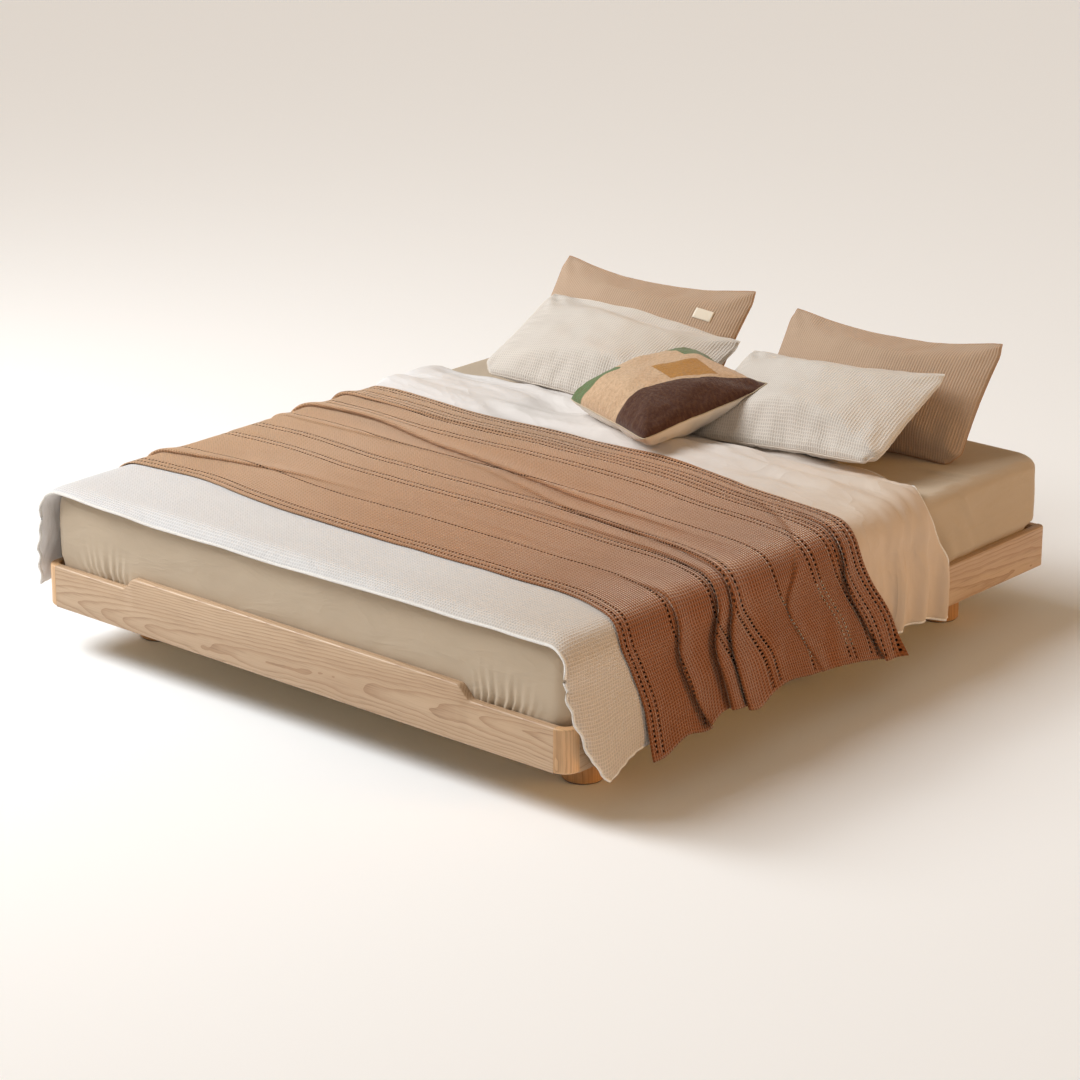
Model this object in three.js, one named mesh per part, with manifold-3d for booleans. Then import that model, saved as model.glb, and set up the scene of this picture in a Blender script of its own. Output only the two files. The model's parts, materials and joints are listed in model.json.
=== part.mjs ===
// Wooden bed frame with its mattress and bedding, in millimetres, +Z up.
// The origin is on the floor under the middle of the bed. The foot end faces -Y and the head end +Y.
import * as THREE from "three";
import { mergeVertices } from "three/addons/utils/BufferGeometryUtils.js";
import Module from "manifold-3d";

const wasm = await Module();
wasm.setup();

// ---- driving dimensions ----
const frameWidth = 1880;
const frameLength = 2060;
const railThickness = 25;
const railHeight = 118;
const footRailRise = 34; // the middle of the foot rail stands this much higher
const raisedHalfLength = 580;
const rampLength = 46;
const floorClearance = 125; // floor to the underside of the rails
const cornerRadius = 45; // outside radius of the rounded foot corners
const gap = 0.3; // between neighbouring pieces

const legRadius = 55;
const legInset = 170; // leg centre in from the side of the frame
const legEndInset = 260; // leg centre in from the foot or head end
const centreLegRadius = 35;
const centreLegOffset = 330;
const padThickness = 3;

const slatCount = 12;
const slatWidth = 95;
const slatThickness = 18;
const supportTop = 167; // the plane that carries the slats
const ledgeWidth = 40;
const ledgeThickness = 22;
const beamWidth = 60;
const beamHeight = 40;
const bearerWidth = 110;
const blockSize = 60;

const mattressWidth = 1824;
const mattressLength = 2004;
const mattressTop = 450;
const duvetThickness = 20;
const turnDownThickness = 38; // where the duvet is folded back on itself
const dropHem = 122; // height of the duvet's and throw's side hems
const throwThickness = 6;

// ---- derived places ----
const halfWidth = frameWidth / 2;
const halfLength = frameLength / 2;
const innerHalfWidth = halfWidth - railThickness;
const innerHalfLength = halfLength - railThickness;
const railTop = floorClearance + railHeight;
const legX = halfWidth - legInset;
const legY = halfLength - legEndInset;
const duvetTop = mattressTop + 1 + duvetThickness;
const turnDownTop = mattressTop + 1 + turnDownThickness;

// ---- materials ----
const finish = (color, roughness, metalness = 0) =>
  new THREE.MeshStandardMaterial({ color, roughness, metalness });
const oak = finish(0xcfa06c, 0.5);
const cornerOak = finish(0xc9965c, 0.5);
const legOak = finish(0xb98850, 0.55);
const pine = finish(0xdcc294, 0.65);
const steel = finish(0x9a9a98, 0.35, 1);
const felt = finish(0x6d6259, 0.95);
const sheet = finish(0xc6b299, 0.85);
const whiteCotton = finish(0xe6e3df, 0.9);
const knit = finish(0xb0794c, 0.9);
const brownWaffle = finish(0xbd9065, 0.9);
const patchwork = finish(0xdfb88d, 0.9);

// ---- geometry helpers ----
const degrees = (a) => (a * Math.PI) / 180;
const range = (n) => Array.from({ length: n }, (_, i) => i);
const ramp = (n) => range(n + 1).map((i) => i / n);

// Corner arcs of a rectangle, anticlockwise from the lower left; radii are in that order too.
function roundedRectangle(left, right, low, high, radii, steps = 3) {
  const corners = [
    [left, low, 1, 1, 180],
    [right, low, -1, 1, 270],
    [right, high, -1, -1, 0],
    [left, high, 1, -1, 90],
  ];
  return corners.flatMap(([x, y, dx, dy, start], c) => {
    const r = radii[c];
    return ramp(steps).map((k) => {
      const a = degrees(start + 90 * k);
      return new THREE.Vector2(x + dx * r + r * Math.cos(a), y + dy * r + r * Math.sin(a));
    });
  });
}

// One closed body over rings of equally many points; flatten gives a ring's 2-D outline for its caps.
function skin(rings, flatten) {
  const n = rings[0].length;
  const last = (rings.length - 1) * n;
  const index = [];
  for (let start = 0; start < last; start += n)
    for (const i of range(n)) {
      const a = start + i;
      const b = start + ((i + 1) % n);
      index.push(a, b, b + n, a, b + n, a + n);
    }
  const outline = rings[0].map(flatten);
  const turns = Math.sign(THREE.ShapeUtils.area(outline));
  for (const face of THREE.ShapeUtils.triangulateShape(outline, [])) {
    const side = Math.sign(THREE.ShapeUtils.area(face.map((i) => outline[i])));
    const [i, j, k] = side === turns ? face : [...face].reverse();
    index.push(k, j, i, last + i, last + j, last + k);
  }
  const geometry = new THREE.BufferGeometry();
  const positions = rings.flat().flatMap((p) => p.toArray());
  geometry.setAttribute("position", new THREE.Float32BufferAttribute(positions, 3));
  geometry.setIndex(index);
  return toGeometry(toSolid(facingOut(geometry)));
}

function facingOut(geometry) {
  const p = geometry.getAttribute("position");
  const index = geometry.index.array;
  const corner = (i) => new THREE.Vector3().fromBufferAttribute(p, index[i]);
  let volume = 0;
  for (let i = 0; i < index.length; i += 3)
    volume += corner(i).dot(corner(i + 1).cross(corner(i + 2)));
  if (volume < 0) geometry.setIndex([...index].reverse());
  return geometry;
}

function toSolid(geometry) {
  const bare = geometry.clone();
  bare.deleteAttribute("normal");
  bare.deleteAttribute("uv");
  const merged = mergeVertices(bare, 1e-3);
  const mesh = new wasm.Mesh({
    numProp: 3,
    vertProperties: merged.getAttribute("position").array,
    triVerts: new Uint32Array(merged.index.array),
  });
  return new wasm.Manifold(mesh);
}

function toGeometry(solid) {
  const mesh = solid.getMesh();
  const geometry = new THREE.BufferGeometry();
  const positions = new THREE.BufferAttribute(new Float32Array(mesh.vertProperties), 3);
  geometry.setAttribute("position", positions);
  geometry.setIndex(new THREE.BufferAttribute(new Uint32Array(mesh.triVerts), 1));
  return geometry;
}

const cut = (geometry, ...tools) =>
  toGeometry(tools.reduce((solid, tool) => solid.subtract(toSolid(tool)), toSolid(geometry)));

// A box between two corners.
function block(x0, x1, y0, y1, z0, z1) {
  const box = new THREE.BoxGeometry(x1 - x0, y1 - y0, z1 - z0);
  return box.translate((x0 + x1) / 2, (y0 + y1) / 2, (z0 + z1) / 2);
}

// A turned piece standing on Z, from its radius and height points.
const turned = (profile, segments = 32) =>
  new THREE.LatheGeometry(profile.map(([r, z]) => new THREE.Vector2(r, z)), segments).rotateX(
    Math.PI / 2,
  );

// ---- the assembly ----
const bed = new THREE.Group();
bed.name = "bed";

function add(name, geometry, material, parent = bed) {
  const mesh = new THREE.Mesh(geometry, material);
  mesh.name = name;
  parent.add(mesh);
  return mesh;
}

const sides = { left: -1, right: 1 };
const ends = { foot: -1, head: 1 };

// ---- rails and rounded foot corners ----
const outerRound = 5; // the edges that a hand or shin meets
const innerRound = 3;
const lowRound = 4;
const sectionRadii = [lowRound, lowRound, innerRound, outerRound];

// The section of a rail: u runs inwards from the outer face, v up.
const railSection = (top, setBack = 0) =>
  roundedRectangle(setBack, railThickness, floorClearance, top, sectionRadii);

// The foot rail's top edge steps up to its raised middle over a short S-shaped ramp.
function footRailTop(x) {
  const t = THREE.MathUtils.clamp((raisedHalfLength + rampLength - Math.abs(x)) / rampLength, 0, 1);
  return railTop + footRailRise * THREE.MathUtils.smoothstep(t, 0, 1);
}

function footRail() {
  const end = halfWidth - cornerRadius - gap;
  const half = ramp(12).map((k) => raisedHalfLength + rampLength * (1 - k));
  const stations = [-end, ...half.map((x) => -x), ...half.reverse(), end];
  const rings = stations.map((x) =>
    railSection(footRailTop(x)).map((p) => new THREE.Vector3(x, -halfLength + p.x, p.y)),
  );
  return skin(rings, (p) => new THREE.Vector2(p.y, p.z));
}

function headRail() {
  const end = innerHalfWidth - gap;
  const rings = [-end, end].map((x) =>
    railSection(railTop).map((p) => new THREE.Vector3(x, halfLength - p.x, p.y)),
  );
  return skin(rings, (p) => new THREE.Vector2(p.y, p.z));
}

function sideRail(side) {
  const endRound = 12; // the upright edge at the head end
  const stations = [[-halfLength + cornerRadius + gap, 0]];
  for (const k of ramp(5)) {
    const a = degrees(90 * k);
    const y = halfLength - endRound + endRound * Math.sin(a);
    stations.push([y, endRound * (1 - Math.cos(a))]);
  }
  const rings = stations.map(([y, setBack]) =>
    railSection(railTop, setBack).map((p) => new THREE.Vector3(side * (halfWidth - p.x), y, p.y)),
  );
  return skin(rings, (p) => new THREE.Vector2(p.x, p.z));
}

// A quarter ring with the rails' own section, its grain standing upright.
function footCorner(side) {
  const bottomRound = 9;
  const radii = [innerRound, bottomRound, outerRound, innerRound];
  const inside = cornerRadius - railThickness;
  const outline = roundedRectangle(inside, cornerRadius, floorClearance, railTop, radii, 4);
  const rings = ramp(10).map((k) => {
    const a = degrees(90 * k);
    return outline.map((p) => {
      const x = halfWidth - cornerRadius + p.x * Math.cos(a);
      const y = halfLength - cornerRadius + p.x * Math.sin(a);
      return new THREE.Vector3(side * x, -y, p.y);
    });
  });
  return skin(rings, (p) => new THREE.Vector2(Math.abs(p.x), p.z));
}

add("foot_rail", footRail(), oak);
add("head_rail", headRail(), oak);
for (const [name, side] of Object.entries(sides)) {
  add("side_rail_" + name, sideRail(side), oak);
  add("foot_corner_" + name, footCorner(side), cornerOak);
}

// ---- corner blocks and their bolts ----
const boltRadius = 4;
const boltHeadRadius = 7;
const boltHeadHeight = 5;
const boltClearance = 0.5;
const boltDepth = 16; // into the side rail
const blockBottom = floorClearance + 2;
const blockTop = supportTop - gap;
const boltZ = (blockBottom + blockTop) / 2;
const boltY = innerHalfLength - gap - blockSize / 2;

// A bolt along X, pointing to +X, with its washer-faced head at the low end.
function sidewaysBolt(from, to, radius) {
  const profile = [
    [0, from - boltHeadHeight],
    [boltHeadRadius - 1, from - boltHeadHeight],
    [boltHeadRadius, from - boltHeadHeight + 1],
    [boltHeadRadius, from - gap],
    [radius, from - gap],
    [radius, to],
    [0, to],
  ];
  return turned(profile, 16).rotateY(Math.PI / 2);
}

function cornerBlock(side, end) {
  const outerX = innerHalfWidth - gap;
  const outerY = innerHalfLength - gap;
  const chamfer = 22;
  const round = end < 0 ? cornerRadius - railThickness : 1;
  const arc = ramp(4).map((k) => {
    const a = degrees(90 * k);
    return [outerX - round + round * Math.cos(a), outerY - round + round * Math.sin(a)];
  });
  const outline = [
    [outerX - blockSize + chamfer, outerY - blockSize],
    [outerX, outerY - blockSize],
    ...arc,
    [outerX - blockSize, outerY],
    [outerX - blockSize, outerY - blockSize + chamfer],
  ];
  const rings = [blockBottom, blockTop].map((z) =>
    outline.map(([x, y]) => new THREE.Vector3(side * x, end * y, z)),
  );
  const solid = skin(rings, (p) => new THREE.Vector2(p.x, p.y));
  return cut(solid, boltHole(side, end));
}

function boltHole(side, end) {
  const hole = sidewaysBolt(0, innerHalfWidth + boltDepth, boltRadius + boltClearance);
  return hole.rotateZ(side < 0 ? Math.PI : 0).translate(0, end * boltY, boltZ);
}

for (const [sideName, side] of Object.entries(sides)) {
  const rail = bed.getObjectByName("side_rail_" + sideName);
  for (const [endName, end] of Object.entries(ends)) {
    const name = endName + "_" + sideName;
    rail.geometry = cut(rail.geometry, boltHole(side, end));
    add("corner_block_" + name, cornerBlock(side, end), pine);
    const from = innerHalfWidth - gap - blockSize;
    const bolt = sidewaysBolt(from, innerHalfWidth + boltDepth - 1, boltRadius);
    bolt.rotateZ(side < 0 ? Math.PI : 0);
    add("corner_bolt_" + name, bolt, steel).position.set(0, end * boltY, boltZ);
  }
}

// ---- ledges, bearers and centre beam ----
const ledgeBottom = supportTop - ledgeThickness;
const ledgeInner = innerHalfWidth - gap - ledgeWidth;
const lapHeight = 146; // where the bearers and the centre beam are halved into each other
const counterboreDepth = 8;
const legBoltRadius = 5;
const legBoltDepth = 42; // into the leg

function legBoltHole(x, y, bottom) {
  const wide = 9.5;
  const narrow = legBoltRadius + 0.5;
  const profile = [
    [0, bottom - 1],
    [narrow, bottom - 1],
    [narrow, supportTop - counterboreDepth],
    [wide, supportTop - counterboreDepth],
    [wide, supportTop + 1],
    [0, supportTop + 1],
  ];
  return turned(profile, 20).translate(x, y, 0);
}

function bearer(end) {
  const y0 = end * legY - bearerWidth / 2;
  const y1 = end * legY + bearerWidth / 2;
  const reach = innerHalfWidth - gap;
  const body = block(-reach, reach, y0, y1, floorClearance + gap, supportTop - gap);
  const endLap = (side) =>
    block(
      ...[side * (ledgeInner - gap), side * (reach + 1)].sort((a, b) => a - b),
      y0 - 1,
      y1 + 1,
      ledgeBottom - gap,
      supportTop + 1,
    );
  const middleLap = block(
    -beamWidth / 2 - gap,
    beamWidth / 2 + gap,
    y0 - 1,
    y1 + 1,
    lapHeight,
    supportTop + 1,
  );
  const holes = [-legX, legX].map((x) => legBoltHole(x, end * legY, floorClearance));
  return cut(body, endLap(-1), endLap(1), middleLap, ...holes);
}

const beamBottom = supportTop - beamHeight;

function centreBeam() {
  const reach = innerHalfLength - 3 * gap - bracketSteel;
  const body = block(-beamWidth / 2, beamWidth / 2, -reach, reach, beamBottom, supportTop - gap);
  const laps = [-legY, legY].map((y) =>
    block(
      -beamWidth,
      beamWidth,
      y - bearerWidth / 2 - gap,
      y + bearerWidth / 2 + gap,
      beamBottom - 1,
      lapHeight + gap,
    ),
  );
  const holes = [-centreLegOffset, centreLegOffset].map((y) => legBoltHole(0, y, beamBottom));
  return cut(body, ...laps, ...holes);
}

// A bent steel shoe that holds the end of the centre beam against a rail.
const bracketSteel = 3;

function beamBracket(end) {
  const reach = 34;
  const half = beamWidth / 2 + gap + bracketSteel;
  const back = innerHalfLength - gap;
  const bottom = beamBottom - gap - bracketSteel;
  const span = (a, b) => [end * a, end * b].sort((p, q) => p - q);
  const outer = block(-half, half, ...span(back - reach, back), bottom, supportTop - 2);
  const inner = block(
    -half + bracketSteel,
    half - bracketSteel,
    ...span(back - reach - 1, back - bracketSteel),
    bottom + bracketSteel,
    supportTop,
  );
  return cut(outer, inner);
}

for (const [name, end] of Object.entries(ends)) {
  add("cross_bearer_" + name, bearer(end), pine);
  add("beam_bracket_" + name, beamBracket(end), steel);
}
add("centre_beam", centreBeam(), pine);
for (const [name, side] of Object.entries(sides)) {
  const xs = [side * ledgeInner, side * (innerHalfWidth - gap)].sort((a, b) => a - b);
  const reach = innerHalfLength - blockSize - 4;
  add("slat_ledge_" + name, block(...xs, -reach, reach, ledgeBottom, supportTop - gap), pine);
}

// ---- slats ----
const slatGap = (2 * innerHalfLength - slatCount * slatWidth) / (slatCount + 1);
for (const i of range(slatCount)) {
  const y = -innerHalfLength + slatGap + i * (slatWidth + slatGap);
  const reach = innerHalfWidth - 2;
  const slat = block(-reach, reach, y, y + slatWidth, supportTop, supportTop + slatThickness);
  add("slat_" + String(i + 1).padStart(2, "0"), slat, pine);
}

// ---- legs, pads and leg bolts ----
function leg(radius, top) {
  const edge = 3;
  const hole = legBoltRadius + 0.5;
  const bottom = padThickness + gap;
  return turned([
    [0, bottom],
    [radius - edge, bottom],
    [radius, bottom + edge],
    [radius, top - edge / 2],
    [radius - edge / 2, top],
    [hole, top],
    [hole, top - legBoltDepth - 2],
    [0, top - legBoltDepth - 2],
  ], 40);
}

const pad = (radius) => turned([[0, 0], [radius, 0], [radius, padThickness], [0, padThickness]], 32);

function legBolt(top) {
  const headBottom = supportTop - counterboreDepth + gap;
  const headTop = headBottom + 5;
  const headRadius = 8.5;
  return turned([
    [0, top - legBoltDepth],
    [legBoltRadius, top - legBoltDepth],
    [legBoltRadius, headBottom],
    [headRadius, headBottom],
    [headRadius, headTop - 1],
    [headRadius - 1, headTop],
    [0, headTop],
  ], 16);
}

function standLeg(name, x, y, radius, top) {
  const group = new THREE.Group();
  group.position.set(x, y, 0);
  bed.add(group);
  add("leg_" + name, leg(radius, top), legOak, group);
  add("felt_pad_" + name, pad(radius - 5), felt, group);
  add("leg_bolt_" + name, legBolt(top), steel, group);
}

for (const [endName, end] of Object.entries(ends)) {
  for (const [sideName, side] of Object.entries(sides))
    standLeg(endName + "_" + sideName, side * legX, end * legY, legRadius, floorClearance);
  const y = end * centreLegOffset;
  standLeg("centre_" + endName, 0, y, centreLegRadius, beamBottom - gap);
}

// ---- mattress ----
function mattress() {
  const bottom = supportTop + slatThickness + 1;
  const corner = 62;
  const edge = 34;
  const rings = [];
  const ring = (inset, z) => {
    const x = mattressWidth / 2 - inset;
    const y = mattressLength / 2 - inset;
    const radii = [0, 0, 0, 0].fill(corner - inset);
    const outline = roundedRectangle(-x, x, -y, y, radii, 5);
    rings.push(outline.map((p) => new THREE.Vector3(p.x, p.y, z)));
  };
  for (const k of ramp(4)) {
    const a = degrees(90 * k);
    ring(edge * (1 - Math.sin(a)), bottom + edge * (1 - Math.cos(a)));
  }
  for (const k of ramp(5)) {
    const a = degrees(90 * k);
    ring(edge * (1 - Math.cos(a)), mattressTop - edge + edge * Math.sin(a));
  }
  return skin(rings, (p) => new THREE.Vector2(p.x, p.y));
}

add("mattress", mattress(), sheet);

// ---- duvet and throw: sheets that lie over the bed and hang down both sides ----
// Outer half-width, underside and top of the flat part give one section, from hem to hem.
function drapeSection(outerX, innerX, under, top, hem) {
  const round = 46;
  const path = (x, z) => {
    const arc = ramp(6).map((k) => {
      const a = degrees(90 * k);
      return [x - round + round * Math.cos(a), z - round + round * Math.sin(a)];
    });
    const right = [[x, hem], ...arc];
    return [...right, ...right.map(([px, pz]) => [-px, pz]).reverse()];
  };
  return [...path(outerX, top), ...path(innerX, under).reverse()];
}

const duvetInnerX = halfWidth + 4;
const duvetOuterX = duvetInnerX + 16;
const duvetFootY = -halfLength + 0.1;
const duvetHeadY = 545;
const turnDownY = 240;
const hemSlant = 140; // the foot hem runs back this far by the time it reaches the bottom

function duvet() {
  const section = (top) =>
    drapeSection(duvetOuterX, duvetInnerX, mattressTop + 1, top, dropHem);
  const stations = [
    [duvetFootY, duvetTop, hemSlant],
    [turnDownY, duvetTop, 0],
    [turnDownY + 14, turnDownTop, 0],
    [duvetHeadY, turnDownTop, 0],
  ];
  const rings = stations.map(([y, top, slant]) =>
    section(top).map(([x, z]) => {
      const below = (duvetTop - Math.min(z, duvetTop)) / (duvetTop - dropHem);
      return new THREE.Vector3(x, y + slant * below, z);
    }),
  );
  return skin(rings, (p) => new THREE.Vector2(p.x, p.z));
}

const throwFootY = -762;
const throwHeadY = 230;

function throwBlanket() {
  const section = drapeSection(
    duvetOuterX + 1 + throwThickness,
    duvetOuterX + 1,
    duvetTop + 0.6,
    duvetTop + 0.6 + throwThickness,
    dropHem - 16,
  );
  const rings = [throwFootY, throwHeadY].map((y) =>
    section.map(([x, z]) => new THREE.Vector3(x, y, z)),
  );
  return skin(rings, (p) => new THREE.Vector2(p.x, p.z));
}

add("duvet", duvet(), whiteCotton);
add("throw_blanket", throwBlanket(), knit);

// ---- pillows and cushion ----
// A plump closed form in its own plane: X across, Y up the pillow, Z out of its front.
function plump(width, height, thickness) {
  const across = 12;
  const up = 8;
  const pull = 0.035; // the sides draw in between the corners
  const place = (i, j, face) => {
    const u = (2 * i) / across - 1;
    const v = (2 * j) / up - 1;
    const swell = Math.pow((1 - u ** 4) * (1 - v ** 4), 0.5);
    const x = (width / 2) * u * (1 - pull * (1 - v * v));
    const y = (height / 2) * v * (1 - 1.6 * pull * (1 - u * u));
    return [x, y, (face * thickness * swell) / 2];
  };
  const positions = [];
  for (const face of [1, -1])
    for (const i of range(across))
      for (const j of range(up)) {
        const quad = [place(i, j, face), place(i + 1, j, face), place(i + 1, j + 1, face)];
        const rest = [place(i, j, face), place(i + 1, j + 1, face), place(i, j + 1, face)];
        const faces = face > 0 ? [quad, rest] : [quad.reverse(), rest.reverse()];
        positions.push(...faces.flat(2));
      }
  const geometry = new THREE.BufferGeometry();
  geometry.setAttribute("position", new THREE.Float32BufferAttribute(positions, 3));
  return mergeVertices(geometry, 1e-3);
}

// Lean is the pillow's angle up from lying flat; turn is about Z and roll is in its own plane.
const pillows = {
  brown_pillow_left: { size: [705, 385, 130], at: [-418, 858, 596], lean: 50, turn: 3, roll: 0 },
  brown_pillow_right: { size: [702, 385, 130], at: [456, 862, 598], lean: 50, turn: 5, roll: 1 },
  white_pillow_left: { size: [701, 385, 130], at: [-376, 690, 556], lean: 25, turn: 2, roll: 0 },
  white_pillow_right: { size: [674, 400, 130], at: [398, 640, 560], lean: 25, turn: 3, roll: 4 },
  cushion: { size: [412, 412, 120], at: [20, 466, 577], lean: 15, turn: -20, roll: -2 },
};
const pillowMaterials = {
  brown_pillow_left: brownWaffle,
  brown_pillow_right: brownWaffle,
  white_pillow_left: whiteCotton,
  white_pillow_right: whiteCotton,
  cushion: patchwork,
};

function placedPillow({ size, at, lean, turn, roll }, growth = 0) {
  const [width, height, thickness] = size.map((s) => s + growth);
  const pose = new THREE.Euler(degrees(lean), degrees(-roll), degrees(turn), "ZXY");
  const matrix = new THREE.Matrix4().makeRotationFromEuler(pose).setPosition(...at);
  return plump(width, height, thickness).applyMatrix4(matrix);
}

// What a pillow rests on: the mattress behind the duvet, and the folded duvet in front.
const bedTop = [
  block(-halfWidth, halfWidth, -halfLength, 2 * halfLength, 0, mattressTop + 0.5),
  block(-halfWidth, halfWidth, -halfLength, duvetHeadY + 0.5, 0, turnDownTop + 0.5),
];
const placed = [];
for (const [name, pillow] of Object.entries(pillows)) {
  const neighbours = placed.map((other) => placedPillow(other, 1.5));
  add(name, cut(placedPillow(pillow), ...bedTop, ...neighbours), pillowMaterials[name]);
  placed.push(pillow);
}

export default bed;
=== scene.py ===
"""Oak bed frame with mattress and bedding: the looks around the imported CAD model, in metres, +Z up.

The foot of the bed faces -Y and the head +Y. The wood is the CAD model's own; everything soft is
made here and stands for its plain CAD solid.
"""

import json
import math

import bpy
import numpy as np
from mathutils import Matrix, Vector
from mathutils.bvhtree import BVHTree


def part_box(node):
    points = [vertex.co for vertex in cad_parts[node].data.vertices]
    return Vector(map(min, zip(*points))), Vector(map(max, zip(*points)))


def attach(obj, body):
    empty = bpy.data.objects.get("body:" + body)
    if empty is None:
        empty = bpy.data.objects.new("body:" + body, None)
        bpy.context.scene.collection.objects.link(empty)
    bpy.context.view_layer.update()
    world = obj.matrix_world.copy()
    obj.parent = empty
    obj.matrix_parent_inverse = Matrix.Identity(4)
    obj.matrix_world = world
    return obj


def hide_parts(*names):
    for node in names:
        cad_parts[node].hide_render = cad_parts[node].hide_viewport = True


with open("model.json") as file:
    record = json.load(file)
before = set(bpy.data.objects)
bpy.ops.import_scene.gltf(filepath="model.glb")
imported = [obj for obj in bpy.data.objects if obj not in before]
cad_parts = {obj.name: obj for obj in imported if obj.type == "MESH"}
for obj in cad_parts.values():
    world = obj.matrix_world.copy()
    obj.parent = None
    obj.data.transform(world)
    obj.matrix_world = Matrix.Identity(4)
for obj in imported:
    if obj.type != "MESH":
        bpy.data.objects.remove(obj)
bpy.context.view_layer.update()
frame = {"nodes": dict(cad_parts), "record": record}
scene = bpy.context.scene

# ---------------- places taken from the frame
mattress_low, mattress_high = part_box("mattress")
side_low, side_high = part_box("side_rail_right")
duvet_low, duvet_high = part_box("duvet")
throw_low, throw_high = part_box("throw_blanket")
MATTRESS_TOP = mattress_high.z
FRAME_SIDE = side_high.x
FOOT_END = duvet_low.y
DUVET_HEAD = duvet_high.y
THROW_FOOT = throw_low.y
THROW_HEAD = throw_high.y


# ---------------- small mathematical helpers
def smooth(start, end, x):
    """0 before start, 1 after end, and an even S between them."""
    t = np.clip((np.asarray(x, float) - start) / (end - start), 0, 1)
    return t * t * (3 - 2 * t)


def bell(x, centre, width):
    """A bump of height 1 at centre."""
    return np.exp(-(((np.asarray(x, float) - centre) / width) ** 2))


def through(x, knots):
    """A smooth curve through (x, value) knots."""
    xs, ys = zip(*knots)
    xs, ys = np.array(xs, float), np.array(ys, float)
    slope = np.gradient(ys, xs)
    x = np.clip(x, xs[0], xs[-1])
    i = np.clip(np.searchsorted(xs, x) - 1, 0, len(xs) - 2)
    h = xs[i + 1] - xs[i]
    t = (x - xs[i]) / h
    a = (1 + 2 * t) * (1 - t) ** 2 * ys[i] + t * (1 - t) ** 2 * h * slope[i]
    return a + t * t * (3 - 2 * t) * ys[i + 1] + t * t * (t - 1) * h * slope[i + 1]


def lattice(x, y, table):
    """The table's values at whole numbers, eased from one to the next."""
    n = len(table)
    i, j = np.floor(x).astype(int), np.floor(y).astype(int)
    u, v = x - i, y - j
    u, v = u * u * (3 - 2 * u), v * v * (3 - 2 * v)
    low = table[i % n, j % n] * (1 - u) + table[(i + 1) % n, j % n] * u
    high = table[i % n, (j + 1) % n] * (1 - u) + table[(i + 1) % n, (j + 1) % n] * u
    return low * (1 - v) + high * v


def ripple(x, y, seed, octaves=3):
    """Soft random hills between about -1 and 1, with a unit between one hill and the next."""
    total, size, rng = 0.0, 1.0, np.random.default_rng(seed)
    for _ in range(octaves):
        table = rng.uniform(-1, 1, (64, 64))
        total = total + size * lattice(np.asarray(x, float), np.asarray(y, float), table)
        x, y, size = np.asarray(x) * 2.1 + 7.3, np.asarray(y) * 2.1 + 3.1, size * 0.5
    return total / 1.5


def ridges(x, y, seed):
    """0 to 1: thin winding ridges with flat ground between them."""
    return np.clip(1 - 2.6 * np.abs(ripple(x, y, seed, 2)), 0, 1) ** 1.5


def grid_normals(points):
    """A unit normal at each point of a grid."""
    across = np.gradient(points, axis=0)
    along = np.gradient(points, axis=1)
    n = np.cross(across, along)
    return n / np.maximum(np.linalg.norm(n, axis=2, keepdims=True), 1e-12)


def distance_along(points):
    """How far each point is from the first, measured along the line."""
    return np.concatenate([[0], np.cumsum(np.linalg.norm(np.diff(points, axis=0), axis=1))])


# ---------------- mesh helpers
def new_object(name, vertices, faces, vertex_uvs=None, corner_uvs=None, material_of=None):
    """A smooth-shaded mesh object; its cloth coordinates are in metres, by vertex or by face corner."""
    mesh = bpy.data.meshes.new(name)
    points = np.asarray(vertices).reshape(-1, 3).tolist()
    mesh.from_pydata(points, [], [np.asarray(face).tolist() for face in faces])
    if vertex_uvs is not None:
        loops = np.zeros(len(mesh.loops), int)
        mesh.loops.foreach_get("vertex_index", loops)
        corner_uvs = np.asarray(vertex_uvs, float).reshape(-1, 2)[loops]
    if corner_uvs is not None:
        mesh.uv_layers.new(name="cloth").data.foreach_set("uv", corner_uvs.ravel())
    mesh.polygons.foreach_set("use_smooth", np.ones(len(mesh.polygons), bool))
    if material_of is not None:
        mesh.polygons.foreach_set("material_index", np.asarray(material_of, int))
    obj = bpy.data.objects.new(name, mesh)
    scene.collection.objects.link(obj)
    return obj


def quads(rows, columns, offset=0, flip=False):
    """Faces of a grid of points, rows by columns."""
    i, j = np.meshgrid(np.arange(rows - 1), np.arange(columns - 1), indexing="ij")
    a = offset + i * columns + j
    faces = np.stack([a, a + columns, a + columns + 1, a + 1], axis=-1).reshape(-1, 4)
    return faces[:, ::-1] if flip else faces


def rim(rows, columns):
    """The grid's border as one loop of point numbers."""
    first = [(i, 0) for i in range(rows)]
    second = [(rows - 1, j) for j in range(1, columns)]
    third = [(i, columns - 1) for i in range(rows - 2, -1, -1)]
    fourth = [(0, j) for j in range(columns - 2, 0, -1)]
    return np.array([i * columns + j for i, j in first + second + third + fourth])


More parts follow.
